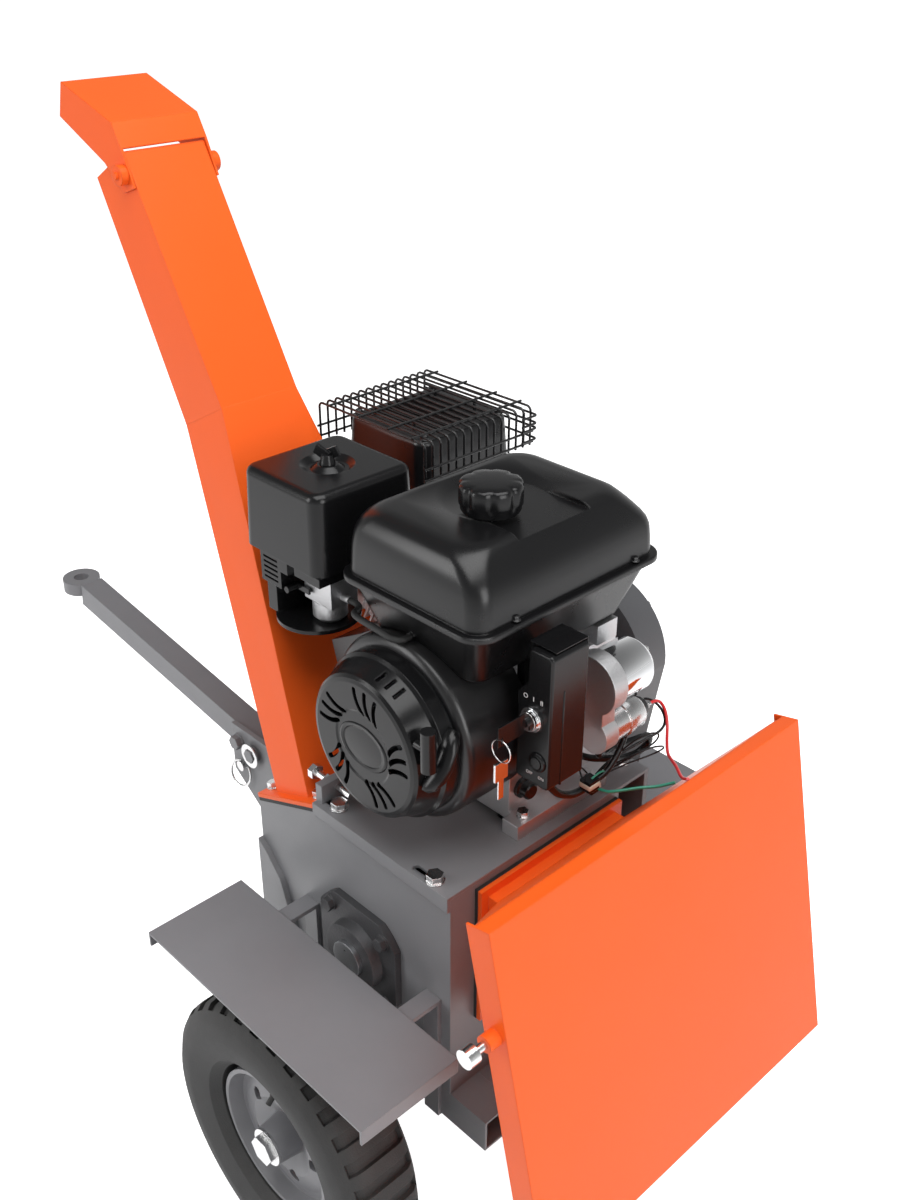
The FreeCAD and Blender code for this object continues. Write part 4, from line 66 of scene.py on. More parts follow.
camera = bpy.data.objects.new("camera", bpy.data.cameras.new("camera"))
scene.collection.objects.link(camera)
scene.camera = camera
camera.data.lens = 39.0
camera.data.sensor_width = 36.0
camera.data.clip_end = 60
turn, down = math.radians(46.3), math.radians(29.0)
looking = Vector((-math.sin(turn) * math.cos(down), math.cos(turn) * math.cos(down), -math.sin(down)))
camera.location = (1.258, -0.985, 1.619)
camera.rotation_euler = looking.to_track_quat("-Z", "Y").to_euler()

floor = bpy.data.objects.new("floor", bpy.data.meshes.new("floor"))
scene.collection.objects.link(floor)
floor_mesh = bmesh.new()
bmesh.ops.create_grid(floor_mesh, x_segments=1, y_segments=1, size=30)
bmesh.ops.translate(floor_mesh, verts=floor_mesh.verts, vec=(0, 0, cad_low[2]))
floor_mesh.to_mesh(floor.data)
floor_mesh.free()

# Seen by the camera or in a reflection the floor adds a white glow to its own shade.
eye_glow, mirror_glow = 0.90, 0.58
floor_paint = bpy.data.materials.new("studio_floor")
floor_paint.use_nodes = True
floor.data.materials.append(floor_paint)
tree = floor_paint.node_tree
shade = tree.nodes["Principled BSDF"]
shade.inputs["Base Color"].default_value = (0.86, 0.86, 0.87, 1)
shade.inputs["Roughness"].default_value = 0.9
shade.inputs["Specular IOR Level"].default_value = 0.0
shade.inputs["Emission Color"].default_value = (1, 1, 1, 1)
seen = tree.nodes.new("ShaderNodeLightPath")
by_eye = tree.nodes.new("ShaderNodeMath")
by_eye.operation = "MULTIPLY"
by_eye.inputs[1].default_value = eye_glow
tree.links.new(seen.outputs["Is Camera Ray"], by_eye.inputs[0])
glow = tree.nodes.new("ShaderNodeMath")
glow.operation = "MULTIPLY_ADD"
glow.inputs[1].default_value = mirror_glow
tree.links.new(seen.outputs["Is Glossy Ray"], glow.inputs[0])
tree.links.new(by_eye.outputs[0], glow.inputs[2])
tree.links.new(glow.outputs[0], shade.inputs["Emission Strength"])

world = bpy.data.worlds.new("studio")
scene.world = world
world.use_nodes = True
tree = world.node_tree
background = tree.nodes["Background"]
background.inputs["Color"].default_value = (1, 1, 1, 1)
# The walls of the studio are bright near the floor and darker overhead.
wall_fall, wall_light, ceiling_light = 2.5, 0.62, 0.16
heading = tree.nodes.new("ShaderNodeTexCoord")
split = tree.nodes.new("ShaderNodeSeparateXYZ")
tree.links.new(heading.outputs["Generated"], split.inputs[0])
value = split.outputs["Z"]
for operation, amount in (("ABSOLUTE", 0.0), ("SUBTRACT", 1.0), ("ABSOLUTE", 0.0), ("POWER", wall_fall),
                          ("MULTIPLY", wall_light), ("ADD", ceiling_light)):
    step = tree.nodes.new("ShaderNodeMath")
    step.operation = operation
    tree.links.new(value, step.inputs[0])
    step.inputs[1].default_value = amount
    value = step.outputs[0]
tree.links.new(value, background.inputs["Strength"])
bright = tree.nodes.new("ShaderNodeBackground")
bright.inputs["Color"].default_value = (1, 1, 1, 1)
bright.inputs["Strength"].default_value = 1.0
light_path = tree.nodes.new("ShaderNodeLightPath")
pick = tree.nodes.new("ShaderNodeMixShader")
tree.links.new(light_path.outputs["Is Camera Ray"], pick.inputs[0])
tree.links.new(background.outputs[0], pick.inputs[1])
tree.links.new(bright.outputs[0], pick.inputs[2])
tree.links.new(pick.outputs[0], tree.nodes["World Output"].inputs["Surface"])


def soft_box(name, place, aim, size, watts):
    """A rectangular lamp that faces its aim."""
    lamp = bpy.data.objects.new(name, bpy.data.lights.new(name, "AREA"))
    scene.collection.objects.link(lamp)
    lamp.data.shape = "RECTANGLE"
    lamp.data.size, lamp.data.size_y = size
    lamp.data.energy = watts
    lamp.location = place
    lamp.rotation_euler = (Vector(aim) - Vector(place)).to_track_quat("-Z", "Y").to_euler()


soft_box("overhead_box", (0.9, -0.2, 3.4), (0.2, 0, 0.8), (3.0, 2.0), 84)
soft_box("left_box", (-1.6, -3.0, 2.0), (0.1, 0, 0.8), (1.4, 2.2), 50)
soft_box("front_box", (3.2, -0.4, 1.8), (0.2, 0, 0.8), (1.4, 2.0), 42)

# ---------------------------------------------------------------------------------------------------------
# Frame: two square rails, cross tubes, the bracket for the drawbar and the axle. All are mild steel,
# saw cut and welded, then powder coated dark grey in one go. The axle beam is zinc plated.
# ---------------------------------------------------------------------------------------------------------


def effect_group(name, inputs, outputs):
    """An empty node group with named values going in and coming out."""
    group = bpy.data.node_groups.new(name, "ShaderNodeTree")
    for label, amount in inputs:
        socket = group.interface.new_socket(label, in_out="INPUT", socket_type="NodeSocketFloat")
        socket.default_value = amount
    for label in outputs:
        group.interface.new_socket(label, in_out="OUTPUT", socket_type="NodeSocketFloat")
    return group, group.nodes.new("NodeGroupInput"), group.nodes.new("NodeGroupOutput")


def calculate(tree, operation, first, second, clamp=False):
    """One step of arithmetic on two numbers or node outputs."""
    step = tree.nodes.new("ShaderNodeMath")
    step.operation = operation
    step.use_clamp = clamp
    for socket, value in zip(step.inputs, (first, second)):
        if isinstance(value, (int, float)):
            socket.default_value = value
        else:
            tree.links.new(value, socket)
    return step.outputs[0]


def noise(tree, scale, detail, rough=0.55):
    """A cloud of values from 0 to 1, fixed to the piece."""
    place = tree.nodes.new("ShaderNodeTexCoord")
    cloud = tree.nodes.new("ShaderNodeTexNoise")
    tree.links.new(place.outputs["Object"], cloud.inputs["Vector"])
    if isinstance(scale, (int, float)):
        cloud.inputs["Scale"].default_value = scale
    else:
        tree.links.new(scale, cloud.inputs["Scale"])
    cloud.inputs["Detail"].default_value = detail
    cloud.inputs["Roughness"].default_value = rough
    return cloud.outputs["Fac"]


# Grain: a fine even bump, as powder coat, moulded plastic and cast metal have.
grain_group, start, end = effect_group("grain", [("Scale", 900.0), ("Depth", 0.5)], ["Height"])
speck = noise(grain_group, start.outputs["Scale"], 2.0)
grain_group.links.new(calculate(grain_group, "MULTIPLY", speck, start.outputs["Depth"]), end.inputs["Height"])

# Handling: the gloss drifts in broad soft patches and a few tight ones.
handling_group, start, end = effect_group("handling", [("Base", 0.4), ("Drift", 0.1)], ["Roughness"])
broad = calculate(handling_group, "SUBTRACT", noise(handling_group, 14.0, 5.0), 0.5)
tight = calculate(handling_group, "SUBTRACT", noise(handling_group, 90.0, 6.0, 0.7), 0.5)
patches = calculate(handling_group, "ADD", broad, calculate(handling_group, "MULTIPLY", tight, 0.5))
drift = calculate(handling_group, "MULTIPLY", patches, start.outputs["Drift"])
handling_group.links.new(calculate(handling_group, "ADD", start.outputs["Base"], drift, True),
                         end.inputs["Roughness"])

# Worn edges: where the rounded normal leaves the true one, broken up by a noise.
wear_group, start, end = effect_group("worn_edges", [("Width", 0.0015), ("Amount", 1.0)], ["Mask"])
rounded = wear_group.nodes.new("ShaderNodeBevel")
rounded.samples = 4
wear_group.links.new(start.outputs["Width"], rounded.inputs["Radius"])
true_normal = wear_group.nodes.new("ShaderNodeNewGeometry")
agree = wear_group.nodes.new("ShaderNodeVectorMath")
agree.operation = "DOT_PRODUCT"
wear_group.links.new(rounded.outputs[0], agree.inputs[0])
wear_group.links.new(true_normal.outputs["Normal"], agree.inputs[1])
edge = calculate(wear_group, "MULTIPLY", calculate(wear_group, "SUBTRACT", 1.0, agree.outputs["Value"]), 6.0)
broken = calculate(wear_group, "SUBTRACT", noise(wear_group, 60.0, 6.0, 0.7), 0.42)
strength = calculate(wear_group, "MULTIPLY", start.outputs["Amount"], 8.0)
wear_group.links.new(calculate(wear_group, "MULTIPLY", calculate(wear_group, "MULTIPLY", edge, broken),
                               strength, True), end.inputs["Mask"])

# Dust: a pale film on what faces up, thicker in patches.
dust_group, start, end = effect_group("dust", [("Amount", 0.2)], ["Mask"])
facing = dust_group.nodes.new("ShaderNodeNewGeometry")
split = dust_group.nodes.new("ShaderNodeSeparateXYZ")
dust_group.links.new(facing.outputs["Normal"], split.inputs[0])
upward = calculate(dust_group, "MAXIMUM", split.outputs["Z"], 0.0)
film = calculate(dust_group, "MULTIPLY", upward, noise(dust_group, 26.0, 8.0, 0.7))
dust_group.links.new(calculate(dust_group, "MULTIPLY", film, start.outputs["Amount"], True), end.inputs["Mask"])


def effect(tree, group, output, **values):
    """Places an effect in a material with the material's own values."""
    used = tree.nodes.new("ShaderNodeGroup")
    used.node_tree = group
    for label, value in values.items():
        used.inputs[label].default_value = value
    return used.outputs[output]


def tint(tree, mask, base, over):
    """Lays one colour over another where the mask says."""
    mixed = tree.nodes.new("ShaderNodeMix")
    mixed.data_type = "RGBA"
    tree.links.new(mask, mixed.inputs["Factor"])
    for label, color in (("A", base), ("B", over)):
        if isinstance(color, tuple):
            mixed.inputs[label].default_value = (*color, 1)
        else:
            tree.links.new(color, mixed.inputs[label])
    return mixed.outputs["Result"]


def surfaced(name, color, rough, drift, metal=0.0, grain=(900.0, 0.4, 0.0002), soft=0.0012, wear=0.0, dust=0.0,
             specular=0.5, shift=0.82):
    """A painted, moulded or plated surface; grain is its scale, its depth and its height in metres, and
    soft the radius that the light sees at its edges."""
    bare_metal, settled_dust = (0.45, 0.45, 0.46), (0.42, 0.40, 0.38)
    grain_scale, grain_depth, grain_height = grain
    material = bpy.data.materials.new(name)
    material.use_nodes = True
    tree = material.node_tree
    shade = tree.nodes["Principled BSDF"]
    shade.inputs["Metallic"].default_value = metal
    shade.inputs["Specular IOR Level"].default_value = specular
    shown = tint(tree, noise(tree, 9.0, 6.0, 0.6), color, tuple(part * shift for part in color))
    if wear:
        shown = tint(tree, effect(tree, wear_group, "Mask", Amount=wear), shown, bare_metal)
    if dust:
        shown = tint(tree, effect(tree, dust_group, "Mask", Amount=dust), shown, settled_dust)
    tree.links.new(shown, shade.inputs["Base Color"])
    tree.links.new(effect(tree, handling_group, "Roughness", Base=rough, Drift=drift), shade.inputs["Roughness"])
    bump = tree.nodes.new("ShaderNodeBump")
    bump.inputs["Distance"].default_value = grain_height
    tree.links.new(effect(tree, grain_group, "Height", Scale=grain_scale, Depth=grain_depth), bump.inputs["Height"])
    if soft:
        edges = tree.nodes.new("ShaderNodeBevel")
        edges.samples = 4
        edges.inputs["Radius"].default_value = soft
        tree.links.new(edges.outputs[0], bump.inputs["Normal"])
    tree.links.new(bump.outputs["Normal"], shade.inputs["Normal"])
    return material


def dress(material, *names):
    """Gives CAD nodes a finish."""
    for name in names:
        slots = nodes[name].data.materials
        slots.clear()
        slots.append(material)


grey_coat = surfaced("grey_powder_coat", (0.205, 0.207, 0.217), 0.40, 0.14, grain=(700.0, 0.5, 0.0002),
                     wear=0.05, dust=0.05, soft=0.0018)
zinc_plate = surfaced("zinc_plate", (0.80, 0.80, 0.80), 0.24, 0.2, 1.0, (500.0, 0.5, 0.0002), soft=0.0008)
dress(grey_coat, "rails", "cross_members", "drawbar_bracket")
dress(zinc_plate, "axle_beam")


def piece(name, mesh, material, body, smooth=0.7):
    """Closes a bmesh and makes it a piece that rides on a body; faces flatter than smooth run together."""
    bmesh.ops.remove_doubles(mesh, verts=mesh.verts, dist=1e-6)
    bmesh.ops.recalc_face_normals(mesh, faces=mesh.faces)
    for corner in mesh.faces:
        corner.smooth = True
    for join in mesh.edges:
        join.smooth = join.is_boundary or join.calc_face_angle(0) < smooth
    data = bpy.data.meshes.new(name)
    mesh.to_mesh(data)
    mesh.free()
    data.materials.append(material)
    made = bpy.data.objects.new(name, data)
    scene.collection.objects.link(made)
    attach(made, body)
    return made


def weld_bead(mesh, begin, finish, size):
    """A row of overlapping drops, as a hand weld lays them."""
    begin, finish = Vector(begin), Vector(finish)
    apart, reach = size * 0.55, size * 0.62
    count = max(2, int((finish - begin).length / apart))
    for index in range(count + 1):
        place = begin.lerp(finish, index / count)
        bmesh.ops.create_icosphere(mesh, subdivisions=1, radius=reach, matrix=Matrix.Translation(place))


welds = bmesh.new()
rail_low, rail_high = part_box("rails")
bracket_low, bracket_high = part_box("drawbar_bracket")
housing_low, housing_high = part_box("drum_housing")
bracket_bead, foot_bead, foot_run = 0.006, 0.005, 0.015
for y in (bracket_low[1], bracket_high[1]):
    weld_bead(welds, (bracket_high[0], y, bracket_low[2] + 0.01), (bracket_high[0], y, bracket_high[2] - 0.01),
              bracket_bead)
for x in (housing_low[0] + 0.02, housing_high[0] - 0.02):
    for y in (rail_low[1] + 0.03, rail_high[1] - 0.03):
        weld_bead(welds, (x - foot_run, y, rail_high[2]), (x + foot_run, y, rail_high[2]), foot_bead)
piece("frame_welds", welds, grey_coat, "chassis", 2.0)

# ---------------------------------------------------------------------------------------------------------
# Drawbar and support leg: square steel tube, powder coated grey, on bolts through the bracket. The lynch
# pin that locks the bar is zinc plated, and a washer lies under each end of the pivot bolt.
# ---------------------------------------------------------------------------------------------------------

pale_grey_coat = surfaced("pale_grey_powder_coat", (0.20, 0.20, 0.212), 0.38, 0.14, grain=(700.0, 0.5, 0.0002),
                          wear=0.05, dust=0.04, soft=0.0018)
dress(pale_grey_coat, "drawbar", "support_leg")
dress(zinc_plate, "lynch_pin")


def lathe(mesh, profile, foot, along, steps):
    """Turns a line of (radius, distance) points about an axis through foot."""
    turned = bmesh.new()
    spots = [turned.verts.new((radius, 0, rise)) for radius, rise in profile]
    lines = [turned.edges.new(pair) for pair in zip(spots, spots[1:])]
    bmesh.ops.spin(turned, geom=spots + lines, cent=(0, 0, 0), axis=(0, 0, 1), angle=2 * math.pi, steps=steps,
                   use_merge=True, use_duplicate=False)
    bmesh.ops.remove_doubles(turned, verts=turned.verts, dist=1e-6)
    place = Matrix.Translation(foot) @ Vector(along).to_track_quat("Z", "Y").to_matrix().to_4x4()
    bmesh.ops.transform(turned, matrix=place, verts=turned.verts)
    kept = bpy.data.meshes.new("turned")
    turned.to_mesh(kept)
    turned.free()
    mesh.from_mesh(kept)
    bpy.data.meshes.remove(kept)


washers = bmesh.new()
pivot_x, pivot_z = -0.124, 0.449
bore, rim, thick, inset = 0.011, 0.020, 0.0022, 0.004
for y, way in ((bracket_low[1], -1), (bracket_high[1], 1)):
    lathe(washers, [(bore, 0), (rim, 0), (rim, thick), (bore, thick)], (pivot_x, y - way * inset, pivot_z),
          (0, way, 0), 28)
piece("pivot_washers", washers, zinc_plate, "chassis")

# ---------------------------------------------------------------------------------------------------------
# Wheels: pressed steel rims in grey with a moulded black tyre. The tread is a ring of blocks between
# grooves, and the side wall has a raised band; a rubber valve stands in the rim.
# ---------------------------------------------------------------------------------------------------------

tyre_rubber = surfaced("tyre_rubber", (0.014, 0.014, 0.014), 0.68, 0.12, grain=(500.0, 0.7, 0.0005), dust=0.15)
dress(pale_grey_coat, "rim_left", "rim_right")
tread_steps, groove_step, groove_inset, groove_depth = 72, 4, 0.0012, 0.0055
for side in ("left", "right"):
    low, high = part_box("tyre_" + side)
    middle = (low + high) / 2
    outer, half = (high[2] - low[2]) / 2, (high[1] - low[1]) / 2
    inner, tread_edge = outer * 0.56, outer * 0.975
    tyre = bmesh.new()
    wall = [(inner, -half * 0.62), (inner + 0.012, -half * 0.86), (outer * 0.78, -half), (outer * 0.82, -half * 0.985),
            (outer * 0.9, -half * 0.95), (outer * 0.965, -half * 0.78), (outer * 0.993, -half * 0.62)]
    crown = [(outer, -half * 0.42), (outer, -half * 0.14)]
    profile = wall + crown + [(radius, -along) for radius, along in reversed(wall + crown)] + [wall[0]]
    lathe(tyre, profile, middle, (0, 1, 0), tread_steps)
    bmesh.ops.recalc_face_normals(tyre, faces=tyre.faces)
    grooves = []
    for face in tyre.faces:
        spot = face.calc_center_median() - middle
        step = int(round((math.atan2(spot.z, spot.x) / (2 * math.pi)) * tread_steps * 2))
        block = (abs(spot.y) > half * 0.16 or abs(spot.y) < half * 0.1) and step % groove_step != 1
        if math.hypot(spot.x, spot.z) > tread_edge and not block:
            grooves.append(face)
    bmesh.ops.inset_region(tyre, faces=grooves, thickness=groove_inset, depth=-groove_depth, use_even_offset=True)
    made = piece("tread_tyre_" + side, tyre, tyre_rubber, "wheel_" + side, 0.5)
    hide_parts("tyre_" + side)
    outward = -1 if side == "left" else 1
    valve = bmesh.new()
    lathe(valve, [(0, 0), (0.0055, 0), (0.005, 0.012), (0.0038, 0.014), (0.0038, 0.024), (0, 0.025)],
          (middle.x, middle.y + outward * half * 0.35, middle.z + inner - 0.022), (0, outward * 0.7, -0.7), 14)
    piece("valve_" + side, valve, tyre_rubber, "wheel_" + side)

# ---------------------------------------------------------------------------------------------------------
# Mudguards, cutting housing and drive plate: bent and welded steel plate, powder coated grey. The drum,
# its knives and the bearings inside stay bare machined iron and ground tool steel.
# ---------------------------------------------------------------------------------------------------------

ground_steel = surfaced("ground_steel", (0.50, 0.51, 0.53), 0.30, 0.15, 1.0, (700.0, 0.5, 0.0002), soft=0.001)
cast_iron = surfaced("cast_iron", (0.10, 0.10, 0.105), 0.55, 0.15, 0.7, (350.0, 0.8, 0.0006), soft=0.0015)
dress(grey_coat, "drum_housing", "drive_plate")
dress(pale_grey_coat, "mudguard_left", "mudguard_right")
dress(cast_iron, "bearings", "drum")
dress(ground_steel, "bed_knife", "knives", "drum_shaft", "crankshaft")

seams = bmesh.new()
seam_x, seam_foot, seam_top, seam_bead = housing_low[0] + 0.006, housing_low[2] + 0.02, 0.52, 0.004
for y in (housing_low[1] + 0.012, housing_high[1] - 0.012):
    weld_bead(seams, (seam_x, y, seam_foot), (seam_x, y, seam_top), seam_bead)
piece("housing_welds", seams, grey_coat, "chassis", 2.0)

# ---------------------------------------------------------------------------------------------------------
# Belt drive: rubber V-belts between two turned pulleys, shut in by a pressed guard in a darker grey.
# Small flanged screws hold the guard to its spacers.
# ---------------------------------------------------------------------------------------------------------

black_rubber = surfaced("black_rubber", (0.010, 0.010, 0.010), 0.62, 0.12, grain=(900.0, 0.6, 0.0003), soft=0.0008)
guard_coat = surfaced("dark_guard_coat", (0.090, 0.091, 0.097), 0.40, 0.14, grain=(420.0, 0.5, 0.0003))
dress(guard_coat, "belt_guard")
dress(black_rubber, "belts", "gaskets")


def flange_screw(mesh, foot, along, size):
    """A hexagon head, size across its corners, on its own round flange, as pressed from one blank."""
    lathe(mesh, [(0, 0), (size * 0.62, 0), (size * 0.6, size * 0.1), (size * 0.47, size * 0.2)], foot, along, 24)
    lathe(mesh, [(size * 0.5, size * 0.14), (size * 0.5, size * 0.55), (size * 0.42, size * 0.62),
                 (size * 0.3, size * 0.6), (0, size * 0.56)], foot, along, 6)


screws = bmesh.new()
guard_face, guard_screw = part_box("belt_guard")[1][1], 0.013
for x, z in ((0.323, 0.356), (0.241, 0.55), (0.341, 0.55), (0.250, 0.79), (0.364, 0.79)):
    flange_screw(screws, (x, guard_face - 0.0005, z), (0, 1, 0), guard_screw)
piece("guard_screws", screws, zinc_plate, "chassis")

# ---------------------------------------------------------------------------------------------------------
# Chute and deflector: folded and seam-welded steel sheet, powder coated orange. The foot's flange is
# bolted over a rubber gasket, and two knobs hold the deflector at its angle.
# ---------------------------------------------------------------------------------------------------------

orange_coat = surfaced("orange_powder_coat", (0.89, 0.118, 0.015), 0.32, 0.08, grain=(420.0, 0.5, 0.00018),
                       specular=0.2, soft=0.0025, shift=0.93)
dress(orange_coat, "chute", "deflector")
dress(zinc_plate, "chute_bolts")

# ---------------------------------------------------------------------------------------------------------
# Feed hopper and folding tray: orange sheet with a collar round the mouth. The tray turns on a pin at
# its foot and a sprung zinc latch pin holds it shut; a rubber strip seals the hopper's neck.
# ---------------------------------------------------------------------------------------------------------

dress(orange_coat, "hopper", "feed_tray")
dress(zinc_plate, "tray_latch")

# ---------------------------------------------------------------------------------------------------------
# Engine deck: a slotted grey plate with turned-down sides. Zinc-plated bolts hold it to the frame and
# the engine's feet to it, and a long screw at the back tightens the belts.
# ---------------------------------------------------------------------------------------------------------

dress(grey_coat, "deck")
dress(zinc_plate, "deck_bolts")

# ---------------------------------------------------------------------------------------------------------
# Crankcase and cylinder: die-cast aluminium with a grey as-cast skin. A moulded plug closes the oil
# filler at the foot; the rocker cover and the fan's shroud are pressed steel in black heat-proof paint.
# ---------------------------------------------------------------------------------------------------------

cast_alloy = surfaced("cast_alloy", (0.66, 0.66, 0.67), 0.44, 0.18, 1.0, (350.0, 0.8, 0.0006), soft=0.0018)
heat_black = surfaced("heat_proof_black", (0.008, 0.008, 0.009), 0.30, 0.14, grain=(600.0, 0.5, 0.0002), dust=0.04)
moulding = surfaced("black_moulding", (0.006, 0.006, 0.0065), 0.24, 0.05, grain=(1500.0, 0.35, 0.00006),
                    specular=0.32)
dress(cast_alloy, "crankcase", "cylinder")
dress(heat_black, "rocker_cover", "shroud")

case_face = 0.3915
plug = bmesh.new()
lathe(plug, [(0, 0), (0.014, 0), (0.014, 0.005), (0.011, 0.007), (0.011, 0.016), (0.009, 0.018), (0, 0.018)],
      (case_face, -0.036, 0.648), (1, 0, 0), 20)
piece("oil_filler_plug", plug, moulding, "chassis")
# The oil drain screw, then the four that hold the case's side.
case_screws = bmesh.new()
for y, z, size in ((0.02, 0.634, 0.016), (-0.046, 0.70, 0.012), (-0.046, 0.78, 0.012), (0.115, 0.69, 0.012),
                   (0.115, 0.78, 0.012)):
    flange_screw(case_screws, (case_face, y, z), (1, 0, 0), size)
piece("case_screws", case_screws, zinc_plate, "chassis")

# ---------------------------------------------------------------------------------------------------------
# Recoil starter: a deep moulded black cover with slots, with a plain oval plate in its middle. The
# rope's grip stands over a moulded lug at its side.
# ---------------------------------------------------------------------------------------------------------

dress(moulding, "recoil_cover", "starter_grip")
crank_x, crank_z, cover_face = 0.307, 0.750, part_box("recoil_cover")[0][1]
plate_wide, plate_tall, plate_sunk = 1.22, 0.86, 0.0014
plate = bmesh.new()
lathe(plate, [(0, 0.0004), (0.026, 0.0004), (0.0285, 0.0002), (0.0305, 0.0014), (0.033, 0.0014), (0.0345, 0), (0, 0)],
      (crank_x, cover_face + plate_sunk, crank_z), (0, -1, 0), 48)
bmesh.ops.transform(plate, verts=plate.verts, space=Matrix.Translation((-crank_x, 0, -crank_z)),
                    matrix=Matrix.Diagonal((plate_wide, 1, plate_tall, 1)))
piece("recoil_plate", plate, moulding, "chassis")

# The lug that the rope comes out of, running down the right of the cover under the grip. Each hoop of it
# is an oval, as wide along X and as deep along the lean as it says.
guide = bmesh.new()
hoops = []
lean = Vector((0, -0.755, 0.656))
for centre, wide, deep in (((0.404, -0.162, 0.798), 0.007, 0.006), ((0.407, -0.170, 0.792), 0.012, 0.009),
                           ((0.409, -0.177, 0.779), 0.0140, 0.0100), ((0.410, -0.185, 0.765), 0.0140, 0.0095),
                           ((0.410, -0.195, 0.752), 0.0130, 0.0085), ((0.408, -0.204, 0.743), 0.0100, 0.0070),
                           ((0.405, -0.208, 0.738), 0.0050, 0.0040)):
    hoop = bmesh.ops.create_circle(guide, radius=1, segments=28)["verts"]
    for spot in hoop:
        spot.co = Vector(centre) + Vector((1, 0, 0)) * (spot.co.x * wide) + lean * (spot.co.y * deep)
    hoops.append(list({join for spot in hoop for join in spot.link_edges}))
for above, below in zip(hoops, hoops[1:]):
    bmesh.ops.bridge_loops(guide, edges=above + below)
bmesh.ops.holes_fill(guide, edges=hoops[0], sides=0)
bmesh.ops.holes_fill(guide, edges=hoops[-1], sides=0)
piece("rope_guide", guide, moulding, "chassis", 0.9)

# ---------------------------------------------------------------------------------------------------------
# Fuel tank: two pressed steel shells rolled together at the lip and painted black. The moulded cap has
# a scalloped grip round its edge, and screws through the lip hold the tank down.
# ---------------------------------------------------------------------------------------------------------

tank_paint = surfaced("tank_paint", (0.005, 0.005, 0.0055), 0.28, 0.05, grain=(900.0, 0.4, 0.00008), soft=0.003,
                      specular=0.4)
cap_low, cap_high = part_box("fuel_cap")
cap_x, cap_y = (cap_low[0] + cap_high[0]) / 2, (cap_low[1] + cap_high[1]) / 2
cap_radius, cap_foot, scallops, scallop_depth = (cap_high[0] - cap_low[0]) / 2, 1.0065, 8, 0.085
cap = bmesh.new()
lathe(cap, [(0, 0), (0.9, 0), (0.93, 0.06), (0.94, 0.2), (0.99, 0.28), (1, 0.36), (1, 0.74), (0.985, 0.85),
            (0.94, 0.93), (0.86, 0.965), (0.6, 0.985), (0.3, 0.998), (0, 1)], (0, 0, 0), (0, 0, 1), 96)
for spot in cap.verts:
    reach = math.hypot(spot.co.x, spot.co.y)
    if reach > 0.8 and spot.co.z > 0.24:
        dip = 0.5 + 0.5 * math.cos(scallops * math.atan2(spot.co.y, spot.co.x))
        spot.co.xy *= 1 - scallop_depth * dip ** 4
bmesh.ops.transform(cap, matrix=Matrix.Translation((cap_x, cap_y, cap_foot))
                    @ Matrix.Diagonal((cap_radius, cap_radius, cap_high[2] - cap_foot, 1)), verts=cap.verts)
cap_piece = piece("scalloped_cap", cap, moulding, "fuel_cap", 0.9)
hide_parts("fuel_cap")

# The lower shell and the rolled lip are kept as they are; a softer upper shell is drawn over them.
tank_low, tank_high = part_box("fuel_tank")
shell_foot, tank_top = 0.9255, 1.005
tank = bmesh.new()
tank.from_mesh(nodes["fuel_tank"].data)
bmesh.ops.remove_doubles(tank, verts=tank.verts, dist=1e-6)
bmesh.ops.bisect_plane(tank, geom=tank.verts[:] + tank.edges[:] + tank.faces[:], plane_co=(0, 0, shell_foot + 0.0004),
                       plane_no=(0, 0, 1), clear_outer=True)
bmesh.ops.holes_fill(tank, edges=[join for join in tank.edges if join.is_boundary], sides=0)
# Each ring: its height, how far it stands in from the lip at the back, front, left and right, and its corners.
rings = [(shell_foot, 0.008, 0.008, 0.008, 0.008, 0.024), (0.945, 0.0085, 0.009, 0.009, 0.009, 0.024),
         (0.960, 0.009, 0.0105, 0.010, 0.0105, 0.024), (0.968, 0.0095, 0.013, 0.011, 0.0125, 0.025),
         (0.975, 0.010, 0.017, 0.012, 0.0165, 0.026), (0.982, 0.0115, 0.022, 0.0135, 0.0215, 0.028),
         (0.989, 0.014, 0.0275, 0.016, 0.0265, 0.030), (0.995, 0.0175, 0.0325, 0.0195, 0.0315, 0.032),
         (1.000, 0.0225, 0.0375, 0.0245, 0.036, 0.034), (1.003, 0.0275, 0.0425, 0.0295, 0.041, 0.034),
         (1.0045, 0.033, 0.048, 0.035, 0.0465, 0.032), (tank_top, 0.041, 0.056, 0.043, 0.054, 0.028)]
shell = bmesh.new()
loops = []
for height, back, front, left, right, corner in rings:
    ring = bmesh.ops.create_circle(shell, radius=corner, segments=64)["verts"]
    for spot in ring:
        spot.co.x += tank_high[0] - front - corner if spot.co.x > 0 else tank_low[0] + back + corner
        spot.co.y += tank_high[1] - right - corner if spot.co.y > 0 else tank_low[1] + left + corner
        spot.co.z = height
    loops.append(list({join for spot in ring for join in spot.link_edges}))
for below, above in zip(loops, loops[1:]):
    bmesh.ops.bridge_loops(shell, edges=below + above)
bmesh.ops.holes_fill(shell, edges=loops[0], sides=0)
bmesh.ops.holes_fill(shell, edges=loops[-1], sides=0)
bmesh.ops.recalc_face_normals(shell, faces=shell.faces)


def work_object(name, mesh):
    """Holds a bmesh for as long as a modifier needs it as an object."""
    made = bpy.data.objects.new(name, bpy.data.meshes.new(name))
    mesh.to_mesh(made.data)
    mesh.free()
    scene.collection.objects.link(made)
    return made


